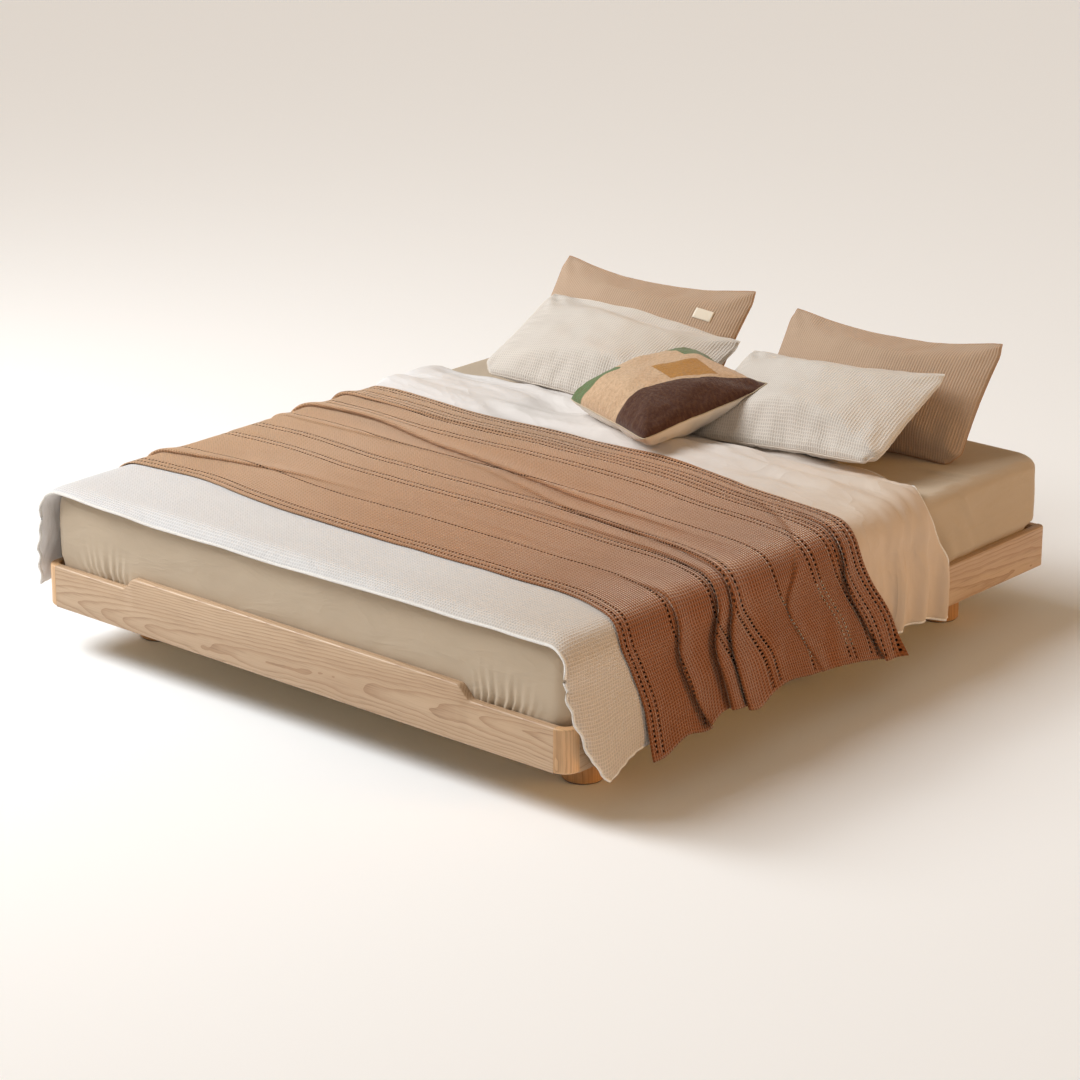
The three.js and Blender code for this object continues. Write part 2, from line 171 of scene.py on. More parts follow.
def two_sided(name, top, bottom, cloth, holes=None, pale=None):
    """A closed sheet between two grids of points.

    holes marks the grid's cells that are eyelets: small pits lined with the second material, which is
    painted shade, or with the third where pale says so, which is painted light.
    """
    rows, columns = top.shape[:2]
    count = rows * columns
    upper, lower = quads(rows, columns), quads(rows, columns, count, flip=True)
    edge = rim(rows, columns)
    around = np.roll(edge, -1)
    border = np.stack([edge, edge + count, around + count, around], axis=-1)
    kinds = [np.zeros(len(upper)), np.zeros(len(lower)), np.zeros(len(border))]
    faces = [upper, lower, border]
    if holes is not None:
        pit = holes.ravel()
        lining = np.where(pale.ravel()[pit], 2, 1)
        a, b, c, d = upper[pit].T
        sides = ((a, b), (b, c), (c, d), (d, a))
        walls = np.concatenate([np.stack([p, q, q + count, p + count], axis=-1) for p, q in sides])
        floors = upper[pit] + count
        faces = [upper[~pit], lower, border, walls, floors]
        kinds = [np.zeros(len(f)) for f in faces[:3]] + [np.tile(lining, 4), lining]
    points = np.concatenate([top.reshape(-1, 3), bottom.reshape(-1, 3)])
    uvs = np.concatenate([cloth.reshape(-1, 2)] * 2)
    return new_object(name, points, np.concatenate(faces), uvs, material_of=np.concatenate(kinds))


def add_modifier(obj, name, kind, **settings):
    modifier = obj.modifiers.new(name, kind)
    for key, value in settings.items():
        setattr(modifier, key, value)


def wear(obj, *names):
    """Gives the object these materials, in this order."""
    for name in names:
        obj.data.materials.append(materials[name])


def tube(name, centres, radius, sides=8):
    """A closed loop of cord through the centres."""
    centres = np.asarray(centres, float)
    ahead = np.roll(centres, -1, 0) - np.roll(centres, 1, 0)
    ahead /= np.linalg.norm(ahead, axis=1, keepdims=True)
    side = np.cross(ahead, (0.0, 0.0, 1.0))
    side /= np.maximum(np.linalg.norm(side, axis=1, keepdims=True), 1e-9)
    up = np.cross(side, ahead)
    angles = np.arange(sides) * 2 * math.pi / sides
    ring = np.cos(angles)[None, :, None] * side[:, None] + np.sin(angles)[None, :, None] * up[:, None]
    points = centres[:, None] + radius * ring
    count = len(centres)
    i, j = np.meshgrid(np.arange(count), np.arange(sides), indexing="ij")
    nxt, right = (i + 1) % count, (j + 1) % sides
    faces = np.stack([i * sides + j, nxt * sides + j, nxt * sides + right, i * sides + right], -1)
    return new_object(name, points, faces.reshape(-1, 4)[:, ::-1])


# ---------------- how materials are made
materials = {}  # every material made here, by its name


class Shader:
    """A Principled material whose extra nodes are chained by short calls."""

    def __init__(self, name, roughness, sheen=0.0, specular=0.5):
        materials[name] = bpy.data.materials.new(name)
        materials[name].use_nodes = True
        self.tree = materials[name].node_tree
        self.surface = self.tree.nodes["Principled BSDF"]
        self.set("Roughness", roughness)
        self.set("Sheen Weight", sheen)
        self.set("Sheen Roughness", 0.5)
        self.set("Specular IOR Level", specular)

    def set(self, name, value):
        """Gives the surface one of its settings, as a value or a link."""
        self.feed(self.surface.inputs[name], value)

    def node(self, kind, inputs=None, **settings):
        made = self.tree.nodes.new(kind)
        for key, value in settings.items():
            setattr(made, key, value)
        for key, value in (inputs or {}).items():
            self.feed(made.inputs[key], value)
        return made

    def feed(self, socket, value):
        if isinstance(value, bpy.types.NodeSocket):
            self.tree.links.new(value, socket)
        else:
            socket.default_value = value

    def math(self, operation, *values):
        made = self.node("ShaderNodeMath", operation=operation)
        for socket, value in zip(made.inputs, values):
            self.feed(socket, value)
        return made.outputs[0]

    def vector(self, operation, first, second):
        return self.node("ShaderNodeVectorMath", {0: first, 1: second}, operation=operation).outputs[0]

    def parts(self, vector):
        """The vector's x and y."""
        return self.node("ShaderNodeSeparateXYZ", {0: vector}).outputs[:2]

    def blend(self, factor, first, second, mode="MIX"):
        made = self.node("ShaderNodeMix", data_type="RGBA", blend_type=mode)
        self.feed(made.inputs["Factor"], factor)
        colours = [s for s in made.inputs if s.type == "RGBA"]
        self.feed(colours[0], first)
        self.feed(colours[1], second)
        return next(s for s in made.outputs if s.type == "RGBA")

    def spread(self, value, low, high, to_low=0.0, to_high=1.0):
        """The value's range from low to high, stretched to a new one."""
        inputs = {0: value, 1: low, 2: high, 3: to_low, 4: to_high}
        return self.node("ShaderNodeMapRange", inputs).outputs[0]

    def place(self, source="Object", scale=(1, 1, 1), turn=(0, 0, 0), shift=(0, 0, 0)):
        if source == "UV":
            vector = self.node("ShaderNodeUVMap", uv_map="cloth").outputs[0]
        else:
            vector = self.node("ShaderNodeTexCoord").outputs[source]
        inputs = {"Vector": vector, "Scale": scale, "Rotation": turn, "Location": shift}
        return self.node("ShaderNodeMapping", inputs).outputs[0]

    def noise(self, vector, scale, detail=2.0, roughness=0.5, distortion=0.0):
        names = ("Vector", "Scale", "Detail", "Roughness", "Distortion")
        inputs = dict(zip(names, (vector, scale, detail, roughness, distortion)))
        return self.node("ShaderNodeTexNoise", inputs).outputs[0]

    def bump(self, height, distance, strength=1.0, invert=False):
        inputs = {"Height": height, "Distance": distance, "Strength": strength}
        normal = self.surface.inputs["Normal"]
        if normal.is_linked:
            inputs["Normal"] = normal.links[0].from_socket
        made = self.node("ShaderNodeBump", inputs, invert=invert)
        self.feed(normal, made.outputs[0])

    def weave_waves(self, cell):
        """Sine waves across and along the cloth, half a wave to each cell."""
        scale = (math.pi / cell, math.pi / cell, 1.0)
        return [self.math("SINE", part) for part in self.parts(self.place("UV", scale=scale))]

    def cloth_tones(self, base, shade, painted_light_ends):
        """The cloth's colour, and the same colour darkened by shade: painted shade for its hollows.

        ends holds the colours at the left and right side of the bed: painted light, lighter on the left
        where the lamps fall and darker and warmer on the right, which lies in shade.
        """
        if painted_light_ends is None:
            return base, darker(base, shade)
        # Painted light: from the lit left end through the base colour to the shaded right end.
        across_bed = self.parts(self.place("UV"))[0]
        left_half = self.blend(self.spread(across_bed, -0.9, 0.3), painted_light_ends[0], base)
        tone = self.blend(self.spread(across_bed, 0.3, 0.95), left_half, painted_light_ends[1])
        return tone, self.blend(1.0, tone, (shade, shade, shade, 1.0), "MULTIPLY")


def rgb(*values):
    """A linear colour from the three sRGB values of 0 to 255."""
    shares = np.array(values) / 255
    linear = np.where(shares <= 0.04045, shares / 12.92, ((shares + 0.055) / 1.055) ** 2.4)
    return (*linear.tolist(), 1.0)


def darker(colour, share):
    return (*(share * c for c in colour[:3]), 1.0)


def along_grain(along, value, elsewhere):
    """Three numbers, with their own value on the axis of the grain."""
    return [value if axis == along else elsewhere for axis in range(3)]


def flat_sawn(name, along, tones, seed, heart, tilt=2.2, roughness=0.4):
    """Flat-sawn wood: growth rings round a slightly tilted heart line, so the face shows long arches.

    along is the axis of the grain, tones the pale and the dark colour and heart a point the heart
    line passes through.
    """
    shader = Shader(name, roughness)
    pale, dark = tones
    turn = [0.0, 0.0, 0.0]
    turn[(along + 2) % 3] = math.radians(tilt)
    turn[(along + 1) % 3] = math.radians(tilt * 0.4)
    from_heart = shader.place(shift=[-c for c in heart], turn=turn)
    slow = shader.place(scale=along_grain(along, 0.9, 3.2), shift=(seed, seed * 0.7, seed * 0.3))
    drift = shader.spread(shader.noise(slow, 1.0, 3.0, 0.55), 0.2, 0.8, -0.028, 0.028)
    bent = shader.vector("ADD", from_heart, shader.vector("MULTIPLY", drift, (1.0, 0.8, 1.2)))
    rings = shader.node(
        "ShaderNodeTexWave",
        {"Vector": bent, "Scale": 54.0, "Distortion": 2.0, "Detail Scale": 0.25},
        wave_type="RINGS",
        rings_direction="XYZ"[along],
        wave_profile="SAW",
    ).outputs["Fac"]
    pores = shader.noise(shader.place(scale=along_grain(along, 9.0, 330.0)), 1.0, 3.0, 0.65)
    broad = shader.place(scale=along_grain(along, 1.6, 14.0), shift=(seed, 0, 0))
    cloud = shader.noise(broad, 1.0, 3.0, 0.6)
    late = shader.math("POWER", shader.spread(rings, 0.35, 1.0), 1.8)
    pore_share = shader.spread(pores, 0.5, 0.68)
    vessel = shader.math("MULTIPLY", pore_share, shader.spread(rings, 0.0, 0.9, 0.3, 1.0))
    tone = shader.blend(shader.math("MULTIPLY", late, 0.72), pale, dark)
    tone = shader.blend(shader.math("MULTIPLY", shader.spread(cloud, 0.35, 0.75), 0.4), tone, dark)
    tone = shader.blend(shader.math("MULTIPLY", vessel, 0.42), tone, darker(dark, 0.5))
    shader.set("Base Color", tone)
    shader.set("Roughness", shader.spread(pores, 0.3, 0.8, roughness - 0.06, roughness + 0.14))
    shader.bump(vessel, 0.0004, 0.5, invert=True)
    shader.bump(rings, 0.0003, 0.25)


WEAVE_CELL = 0.0085  # from one rib of waffle or knit to the next


def woven(
    name, base, depth, shade=0.7, sheen=0.3, tint=(1, 1, 1), fuzz=0.45, lines=(1, 1), painted_light_ends=None, pucker=0
):
    """Waffle cotton: small cells with raised ribs, on the piece's own cloth coordinates.
    The grooves between the ribs carry painted shade.

    lines is how deep the grooves are that run along the second coordinate, and along the first.
    ends holds the colours at the cloth's left and right sides, painted light that is lighter on the
    lit left and darker in the shade on the right, and pucker is how uneven it is.
    """
    shader = Shader(name, 0.9, sheen, specular=0.2)
    shader.set("Sheen Tint", (*tint, 1.0))
    shader.set("Sheen Roughness", fuzz)
    grooves = [
        shader.spread(shader.math("ABSOLUTE", wave), 0.0, 1.0, 1.0 - line, 1.0)
        for wave, line in zip(shader.weave_waves(WEAVE_CELL), lines)
    ]
    ribs = shader.math("SUBTRACT", 1.0, shader.math("MINIMUM", *grooves))
    yarn = shader.noise(shader.place("UV"), 1400.0, 2.0, 0.6)
    soft = shader.noise(shader.place("UV"), 9.0, 3.0, 0.55)
    top, pit = shader.cloth_tones(base, shade, painted_light_ends)
    # Painted shade: the grooves between the ribs take the darker colour.
    tone = shader.blend(shader.spread(ribs, 0.08, 0.7), pit, top)
    shader.set("Base Color", shader.blend(shader.spread(soft, 0.3, 0.75, 0.0, 0.2), tone, pit))
    if pucker:
        shader.bump(shader.noise(shader.place("UV"), 48.0), pucker)
    shader.bump(ribs, depth)
    shader.bump(yarn, 0.0002, 0.5)


THREAD = 0.0009  # from one thread of smooth cotton to the next


def plain_cloth(name, base, sheen=0.2, roughness=0.85, shade=0.88, crumple=0, painted_light_ends=None):
    """Smooth cotton: a very fine weave, a slightly uneven tone and, with crumple, soft creases."""
    shader = Shader(name, roughness, sheen, specular=0.3)
    weave = shader.math("MULTIPLY", *shader.weave_waves(THREAD))
    slub = shader.noise(shader.place("UV", scale=(1.0, 30.0, 1.0)), 18.0, 3.0, 0.6)
    soft = shader.noise(shader.place("UV"), 7.0, 3.0, 0.55)
    # With ends, painted light across the bed: lighter on the lit left, darker in the shade on the right.
    upper, lower = shader.cloth_tones(base, shade, painted_light_ends)
    tone = shader.blend(shader.spread(soft, 0.3, 0.75, 0.0, 0.5), upper, lower)
    shader.set("Base Color", shader.blend(shader.spread(slub, 0.55, 0.8, 0.0, 0.35), tone, lower))
    if crumple:
        ridge = shader.noise(shader.place("UV", scale=(1.0, 1.9, 1.0)), 4.6, 3.0, 0.5, 0.5)
        ridge = shader.math("ABSOLUTE", shader.math("SUBTRACT", ridge, 0.5))
        shader.bump(shader.math("POWER", ridge, 0.8), crumple, invert=True)
    shader.bump(weave, 0.00012, 0.5)
    shader.bump(slub, 0.0003, 0.3)


def grainy(name, base, roughness, metallic=0.0, grain=600.0, depth=0.0002):
    """Steel, felt and seams: an even tone broken by fine grain."""
    shader = Shader(name, roughness)
    shader.set("Metallic", metallic)
    speck = shader.noise(shader.place(), grain, 3.0, 0.6)
    shader.set("Base Color", shader.blend(shader.spread(speck, 0.35, 0.7), base, darker(base, 0.7)))
    shader.bump(speck, depth, 0.5)


# Each patch on the cushion's front: left, right, bottom and top, and its colour.
PATCHES = (
    (0.122, 0.5, -0.5, 0.5, rgb(70, 42, 36)),
    (-0.5, -0.06, 0.10, 0.5, rgb(96, 124, 84)),
    (-0.5, -0.085, -0.5, -0.085, rgb(96, 124, 84)),
    (-0.01, 0.105, -0.03, 0.11, rgb(180, 128, 56)),
)


def colour_blocks():
    """Plain straight-sided patches in three colours, sewn on peach canvas."""
    shader = Shader("colour_blocks", 1.0, 0.25, specular=0.08)
    uneven = shader.spread(shader.noise(shader.place("UV"), 60.0), 0.0, 1.0, -0.004, 0.004)
    across, up = (shader.math("ADD", part, uneven) for part in shader.parts(shader.place("UV")))
    slanted = shader.math("ADD", across, shader.math("MULTIPLY", up, -0.3))
    tone, raised = rgb(211, 179, 146), 0.0
    for left, right, bottom, top, colour in PATCHES:
        inside = shader.math("GREATER_THAN", slanted, left)
        limits = ("LESS_THAN", slanted, right), ("GREATER_THAN", up, bottom), ("LESS_THAN", up, top)
        for limit in limits:
            inside = shader.math("MULTIPLY", inside, shader.math(*limit))
        tone = shader.blend(inside, tone, colour)
        raised = shader.math("MAXIMUM", raised, inside)
    tufts = shader.noise(shader.place("UV"), 95.0, 3.0, 0.7)
    weave = shader.noise(shader.place("UV"), 420.0, 4.0, 0.75)
    tone = shader.blend(shader.spread(tufts, 0.42, 0.66, 0.0, 0.30), tone, rgb(126, 94, 68))
    tone = shader.blend(shader.spread(weave, 0.4, 0.7, 0.0, 0.3), tone, rgb(120, 88, 62))
    shader.set("Base Color", tone)
    shader.bump(raised, 0.0020)
    shader.bump(tufts, 0.0050, 0.8)
    shader.bump(weave, 0.0016, 0.8)


# ---------------- the materials of this bed
X_AXIS, Y_AXIS, Z_AXIS = 0, 1, 2
# The pale and the dark colour of each wood.
RAIL_OAK = rgb(196, 168, 138), rgb(158, 121, 88)
POST_OAK = rgb(216, 175, 131), rgb(176, 134, 91)
LEG_OAK = rgb(196, 148, 98), rgb(160, 112, 68)
PINE = rgb(232, 208, 166), rgb(208, 172, 122)


def wood_materials():
    middle = (side_low.z + side_high.z) / 2
    flat_sawn("oak_foot", X_AXIS, RAIL_OAK, 1, (-0.25, side_low.y + 0.02, middle))
    flat_sawn("oak_head", X_AXIS, RAIL_OAK, 1.6, (0.2, side_high.y - 0.05, middle))
    outside = FRAME_SIDE + 0.16
    flat_sawn("oak_left", Y_AXIS, RAIL_OAK, 2, (-outside, 0.1, middle - 0.05), tilt=0.5)
    flat_sawn("oak_right", Y_AXIS, RAIL_OAK, 2.4, (outside, 0.1, middle - 0.05), tilt=0.5)
    flat_sawn("oak_upright", Z_AXIS, POST_OAK, 3, (0.6, 0.4, 0.2), tilt=1.0)
    flat_sawn("oak_leg", Z_AXIS, LEG_OAK, 4, (0.5, 0.5, 0.0), tilt=1.0)
    flat_sawn("pine_across", X_AXIS, PINE, 5, (0.0, -1.4, 0.05), 1.5, roughness=0.6)
    flat_sawn("pine_along", Y_AXIS, PINE, 6, (0.4, 0.0, 0.05), 1.5, roughness=0.6)


def cloth_materials():
    plain_cloth("fitted_sheet", rgb(186, 168, 145), crumple=0.005)
    # Each ends pair is painted light: the cloth's colour on the lit left of the bed and on the shaded right.
    painted_light_ends = rgb(228, 227, 228), rgb(213, 201, 189)
    woven("waffle_white", rgb(224, 221, 219), 0.0019, 0.76, lines=(0.75, 0.85), painted_light_ends=painted_light_ends, pucker=0.0022)
    painted_light_ends = rgb(220, 216, 214), rgb(206, 187, 168)
    plain_cloth("plain_white", rgb(211, 202, 195), 0.15, 0.65, crumple=0.011, painted_light_ends=painted_light_ends)
    painted_light_ends = rgb(216, 175, 139), rgb(151, 89, 48)
    woven("knit", rgb(187, 130, 89), 0.002, 0.52, 0.8, (1.0, 0.86, 0.72), fuzz=0.4, painted_light_ends=painted_light_ends)
    woven("waffle_white_pillow", rgb(222, 213, 203), 0.0015, 0.78, lines=(1.0, 0.7))
    tint = (1.0, 0.86, 0.76)
    woven("waffle_brown_pillow", rgb(194, 166, 141), 0.0014, 0.76, 0.4, tint, lines=(1.0, 0.35))
    plain_cloth("cream", rgb(221, 212, 200))
    plain_cloth("label", rgb(232, 222, 204))
    # Painted shade: the dark lining of the eyelet pits stands for the shadow inside them.
    plain_cloth("knit_eyelet_painted_shade", rgb(80, 48, 29), sheen=0.0)
    # Painted light: the pale lining of some eyelets on the right-hand drop, where light would come through.
    grainy("knit_eyelet_painted_light", rgb(252, 244, 232), 0.95)
    grainy("hem_white", rgb(238, 234, 229), 0.9, grain=500.0, depth=0.0005)
    grainy("seam_white", rgb(226, 215, 202), 0.9)
    grainy("seam_brown", rgb(184, 142, 108), 0.95)
    grainy("seam_cushion", rgb(206, 190, 164), 0.9)
    colour_blocks()


wood_materials()
cloth_materials()
grainy("steel", rgb(168, 168, 166), 0.35, metallic=1.0)
grainy("felt", rgb(112, 102, 92), 0.95, grain=900.0, depth=0.0006)


# ---------------- wood, steel and felt
SURFACES = {  # the first start that fits a node's name gives its surface
    "foot_corner": "oak_upright",
    "foot_rail": "oak_foot",
    "head_rail": "oak_head",
    "side_rail_left": "oak_left",
    "side_rail_right": "oak_right",
    "leg_bolt": "steel",
    "corner_bolt": "steel",
    "beam_bracket": "steel",
    "felt_pad": "felt",
    "leg_": "oak_leg",
    "slat_ledge": "pine_along",
    "centre_beam": "pine_along",
    "": "pine_across",
}


def finish_hard_parts():
    """The CAD pieces keep their shape: they get welded, softened edges and a real surface."""
    for name in frame["record"]["behaviour"]["bodies"]["bed_frame"]:
        obj = frame["nodes"][name]
        mesh = obj.data
        for attribute in ("custom_normal", "sharp_edge", "sharp_face"):
            if attribute in mesh.attributes:
                mesh.attributes.remove(mesh.attributes[attribute])
        mesh.polygons.foreach_set("use_smooth", np.ones(len(mesh.polygons), bool))
        add_modifier(obj, "weld", "WELD", merge_threshold=1e-5)
        board = "_rail" in name or name.startswith(("slat", "cross", "centre", "corner_block"))
        bevel = dict(width=0.0022 if board else 0.0007, segments=2, harden_normals=True)
        sharp = dict(limit_method="ANGLE", angle_limit=math.radians(32))
        add_modifier(obj, "eased_edges", "BEVEL", **bevel, **sharp)
        mesh.materials.clear()
        wear(obj, next(surface for start, surface in SURFACES.items() if name.startswith(start)))


finish_hard_parts()


# ---------------- mattress in its fitted sheet
MATTRESS_CORNER, MATTRESS_EDGE = 0.05, 0.036  # radii seen from above and from the side
OVER_SIDE_RAIL, OVER_HEAD_RAIL = 0.011, 0.024  # how far the mattress swells out above the rails
OUTLINE_STEP = 0.006  # between the points round the mattress


def mattress_profile(bottom, top):
    """From the middle of the underside to the middle of the top: how far in from the side, and height."""
    edge = MATTRESS_EDGE
    under = np.linspace(math.pi / 2, 0, 5)
    over = np.linspace(0, math.pi / 2, 8)
    inward = np.concatenate([np.arange(0.014, 0.42, 0.014), [0.5, 0.7, 0.85]])
    return (
        [(0.6, bottom)]
        + [(edge * (1 - math.cos(a)), bottom + edge - edge * math.sin(a)) for a in under]
        + [(0.0, z) for z in np.linspace(bottom + edge, top - edge, 24)[1:-1]]
        + [(edge * (1 - math.cos(a)), top - edge + edge * math.sin(a)) for a in over]
        + [(edge + d, top) for d in inward]
    )


def mattress():
    """A soft-edged block in a sheet, built of rings from the underside to the middle of the top."""
    half_x, half_y = mattress_high.x, mattress_high.y
    bottom, top = mattress_low.z, mattress_high.z
    around = rounded_outline(half_x, half_y, MATTRESS_CORNER, OUTLINE_STEP)
    # The cloth's own coordinates start and end at the middle of the head end.
    to_head = (half_x + 0.57 * MATTRESS_CORNER) / OUTLINE_STEP
    around = np.roll(around, -int(to_head), axis=0)
    rings = []
    for inset, z in mattress_profile(bottom, top):
        narrower = max((half_x - inset) / half_x, 0.05)
        shorter = (half_y - min(inset, half_y * 0.93)) / half_y
        flat = np.full(len(around), z)
        rings.append(np.stack([around[:, 0] * narrower, around[:, 1] * shorter, flat], 1))
    points = sheet_wrinkles(np.array(rings), half_x, half_y, bottom, top)
    over_rails = smooth(side_high.z, side_high.z + 0.025, points[..., 2])
    points[..., 0] *= 1 + OVER_SIDE_RAIL / half_x * over_rails
    points[..., 1] *= 1 + OVER_HEAD_RAIL / half_y * over_rails * (points[..., 1] > 0)
    faces, cloth = wrapped(points)
    obj = new_object("mattress_in_fitted_sheet", points, faces, corner_uvs=cloth)
    wear(obj, "fitted_sheet")
    return obj


def wrapped(rings, ring_apart=0.012):
    """Faces that close a stack of rings, and the cloth coordinates of every face corner."""
    rows, columns = rings.shape[:2]
    closed = np.concatenate([rings, rings[:, :1]], axis=1)
    unwrapped = quads(rows, columns + 1)[:, ::-1]
    walls = (unwrapped // (columns + 1)) * columns + (unwrapped % (columns + 1)) % columns
    caps = [np.arange(columns), ((rows - 1) * columns + np.arange(columns))[::-1]]
    side_ring = 8
    run = distance_along(closed[side_ring])
    cloth = np.stack(np.meshgrid(run, np.arange(rows) * ring_apart), -1).reshape(-1, 2)
    corners = [unwrapped.ravel()] + [c // columns * (columns + 1) + c % columns for c in caps]
    return [*walls, *caps], cloth[np.concatenate(corners)]


def rounded_outline(half_x, half_y, corner, step):
    """Points evenly along a rectangle with round corners, anticlockwise."""
    lines = []
    for quarter in range(4):
        a = np.linspace(0, math.pi / 2, 9) + quarter * math.pi / 2
        cx = (half_x - corner) * (1 if quarter in (0, 3) else -1)
        cy = (half_y - corner) * (1 if quarter in (0, 1) else -1)
        lines.append(np.stack([cx + corner * np.cos(a), cy + corner * np.sin(a)], 1))
    loop = np.concatenate(lines + [lines[0][:1]])
    lengths = distance_along(loop)
    where = np.linspace(0, lengths[-1], int(lengths[-1] / step) + 1)[:-1]
    return np.stack([np.interp(where, lengths, loop[:, k]) for k in (0, 1)], 1)


TUCK = 0.69  # where the sheet is gathered, from the middle of the foot end


def sheet_wrinkles(points, half_x, half_y, bottom, top):
    """Puckers behind the foot rail, slack in the sides and creases where the duvet ends."""
    x, y, z = points[..., 0], points[..., 1], points[..., 2]
    rail_top = side_high.z
    tuck = bell(np.abs(x), TUCK, 0.085) * (y < -0.9 * half_y) * bell(z, rail_top - 0.01, 0.06)
    fan = 1 + 2.5 * np.clip(z - rail_top, 0, 1)
    uneven = 0.75 + 0.6 * ripple(x * 26, z * 3, 6)
    wave = 2 * math.pi * (x - np.sign(x) * TUCK) / fan / 0.025 + 2.6 * ripple(x * 22, z * 6, 5)
    pucker = 0.0065 * uneven * tuck * np.sin(wave)
    belly = 0.003 * np.sin(math.pi * np.clip((z - bottom) / (top - bottom), 0, 1))
    drift = 0.003 * ripple(x * 5 + y * 5, z * 9, 11)
    beside_duvet = bell(y, DUVET_HEAD + 0.05, 0.09) * smooth(0.0, 0.05, top - z)
    slant = (y - DUVET_HEAD) + 0.6 * (z - bottom)
    crease = 0.010 * beside_duvet * ridges(slant * 11, z * 3, 12)
    shift = (pucker + belly + drift + crease) * smooth(0.0, 0.03, top - z)
    # Outward from a rectangle with round corners: straight out on the flats, fanned at the corners.
    out_x = np.sign(x) * np.maximum(np.abs(x) - (half_x - MATTRESS_CORNER), 0)
    out_y = np.sign(y) * np.maximum(np.abs(y) - (half_y - MATTRESS_CORNER), 0)
    length = np.maximum(np.hypot(out_x, out_y), 1e-6)
    by_pillows = bell(y, 0.64, 0.08) * smooth(0.3, 0.5, x)
    rumple = 0.008 * by_pillows * ridges(x * 2 + y * 3, y * 13 - x * 4, 13)
    uneven_top = np.where(z > top - 0.001, 0.0015 * ripple(x * 9, y * 9, 3) - 0.001 + rumple, 0)
    return points + np.stack([out_x / length * shift, out_y / length * shift, uneven_top], -1)


# ---------------- how cloth lies over the bed
BEND_LENGTH = 0.15  # cloth taken by the soft turn down over the mattress edge
DROP = 0.24  # cloth length below the turn
BEND = np.linspace(0, 1, 200)  # along the turn; how far out and down it has come at each point
BEND_ANGLE = smooth(0, 1, BEND) * math.pi / 2
BEND_OUT, BEND_DOWN = (
    np.concatenate([[0], np.cumsum(part[:-1] * np.diff(BEND))]) * BEND_LENGTH
    for part in (np.cos(BEND_ANGLE), np.sin(BEND_ANGLE))
)
BEND_START = FRAME_SIDE - BEND_OUT[-1]
REACH = BEND_START + BEND_LENGTH + DROP
DUVET_THICKNESS = 0.017
DUVET_MIDDLE = MATTRESS_TOP + 0.002 + DUVET_THICKNESS / 2


def below_bend(s):
    """0 on the top of the bed, rising to 1 at the hem."""
    return np.clip((np.abs(s) - BEND_START - BEND_LENGTH) / DROP, 0, 1)


def over_bed(s, y, lift, hem, flare):
    """Where cloth lies: s is the distance across from the middle of the bed, measured in the cloth.

    lift is its height over the duvet's middle layer, hem the height of the lower edge and flare
    how far that edge stands off.
    """
    side, s = np.sign(s), np.abs(s)
    turned = np.clip((s - BEND_START) / BEND_LENGTH, 0, 1)
    angle = smooth(0, 1, turned) * math.pi / 2
    down = below_bend(s)
    x = np.minimum(s, BEND_START) + np.interp(turned, BEND, BEND_OUT) + lift * np.sin(angle)
    z = DUVET_MIDDLE - np.interp(turned, BEND, BEND_DOWN) + lift * np.cos(angle)
    z = z - down * (DUVET_MIDDLE - BEND_DOWN[-1] - hem)
    x = x + 0.012 * smooth(0, 0.6, down) + flare * down**2
    return side * x, y, z


def duvet_hem(s, y):
    """The right side's foot corner hangs lowest; the left one is shorter and stands off."""
    right = smooth(-0.2, 0.2, s)
    foot = (0.050 * right - 0.035 * (1 - right)) * bell(y, FOOT_END + 0.09, 0.09)
    return 0.143 - foot - 0.034 * smooth(DUVET_HEAD - 0.16, DUVET_HEAD, y)


def duvet_flare(s, y):
    """The drops stand off furthest at the foot."""
    return 0.010 + (0.028 - 0.006 * smooth(-0.2, 0.2, s)) * bell(y, FOOT_END, 0.26)


DUVET_STEP = 0.0105  # between the points of the duvet's grid
# How far the foot edge slants back down the drop, and how far the head edge is drawn in over the
# edge of the bed: each knot is (share of the way down, distance).
FOOT_SLANT = ((0, 0.0), (0.3, 0.012), (0.55, 0.035), (0.85, 0.08), (1.0, 0.118))
HEAD_DRAWN_IN = ((-0.7, 0), (-0.3, 0.010), (0, 0.042), (0.2, 0.078), (0.36, 0.066), (0.6, 0.028), (0.85, 0))


def duvet_grid():
    """Places in the duvet: distance across in the cloth, share of the way to the head, place along."""
    rows, columns = int(2 * REACH / DUVET_STEP), int((DUVET_HEAD - FOOT_END) / DUVET_STEP)
    s, v = np.meshgrid(np.linspace(-REACH, REACH, rows), np.linspace(0, 1, columns), indexing="ij")
    bent = smooth(BEND_START, BEND_START + BEND_LENGTH, np.abs(s))
    slant = through(below_bend(s), FOOT_SLANT) * (0.3 + 0.7 * smooth(-0.2, 0.2, s))
    wavy = 0.004 * bent * np.sin(2 * math.pi * np.abs(s) / 0.062 + 2 * ripple(s * 9, s * 0, 71))
    foot_edge = FOOT_END + 0.008 - 0.014 * bent + slant + wavy
    fallen = (np.abs(s) - BEND_START) / (BEND_LENGTH + DROP)
    head_edge = DUVET_HEAD - 0.012 - through(fallen, HEAD_DRAWN_IN)
    y = foot_edge + v * (head_edge - foot_edge) + 0.006 * ripple(s * 3, v * 4, 21)
    return s, v, y


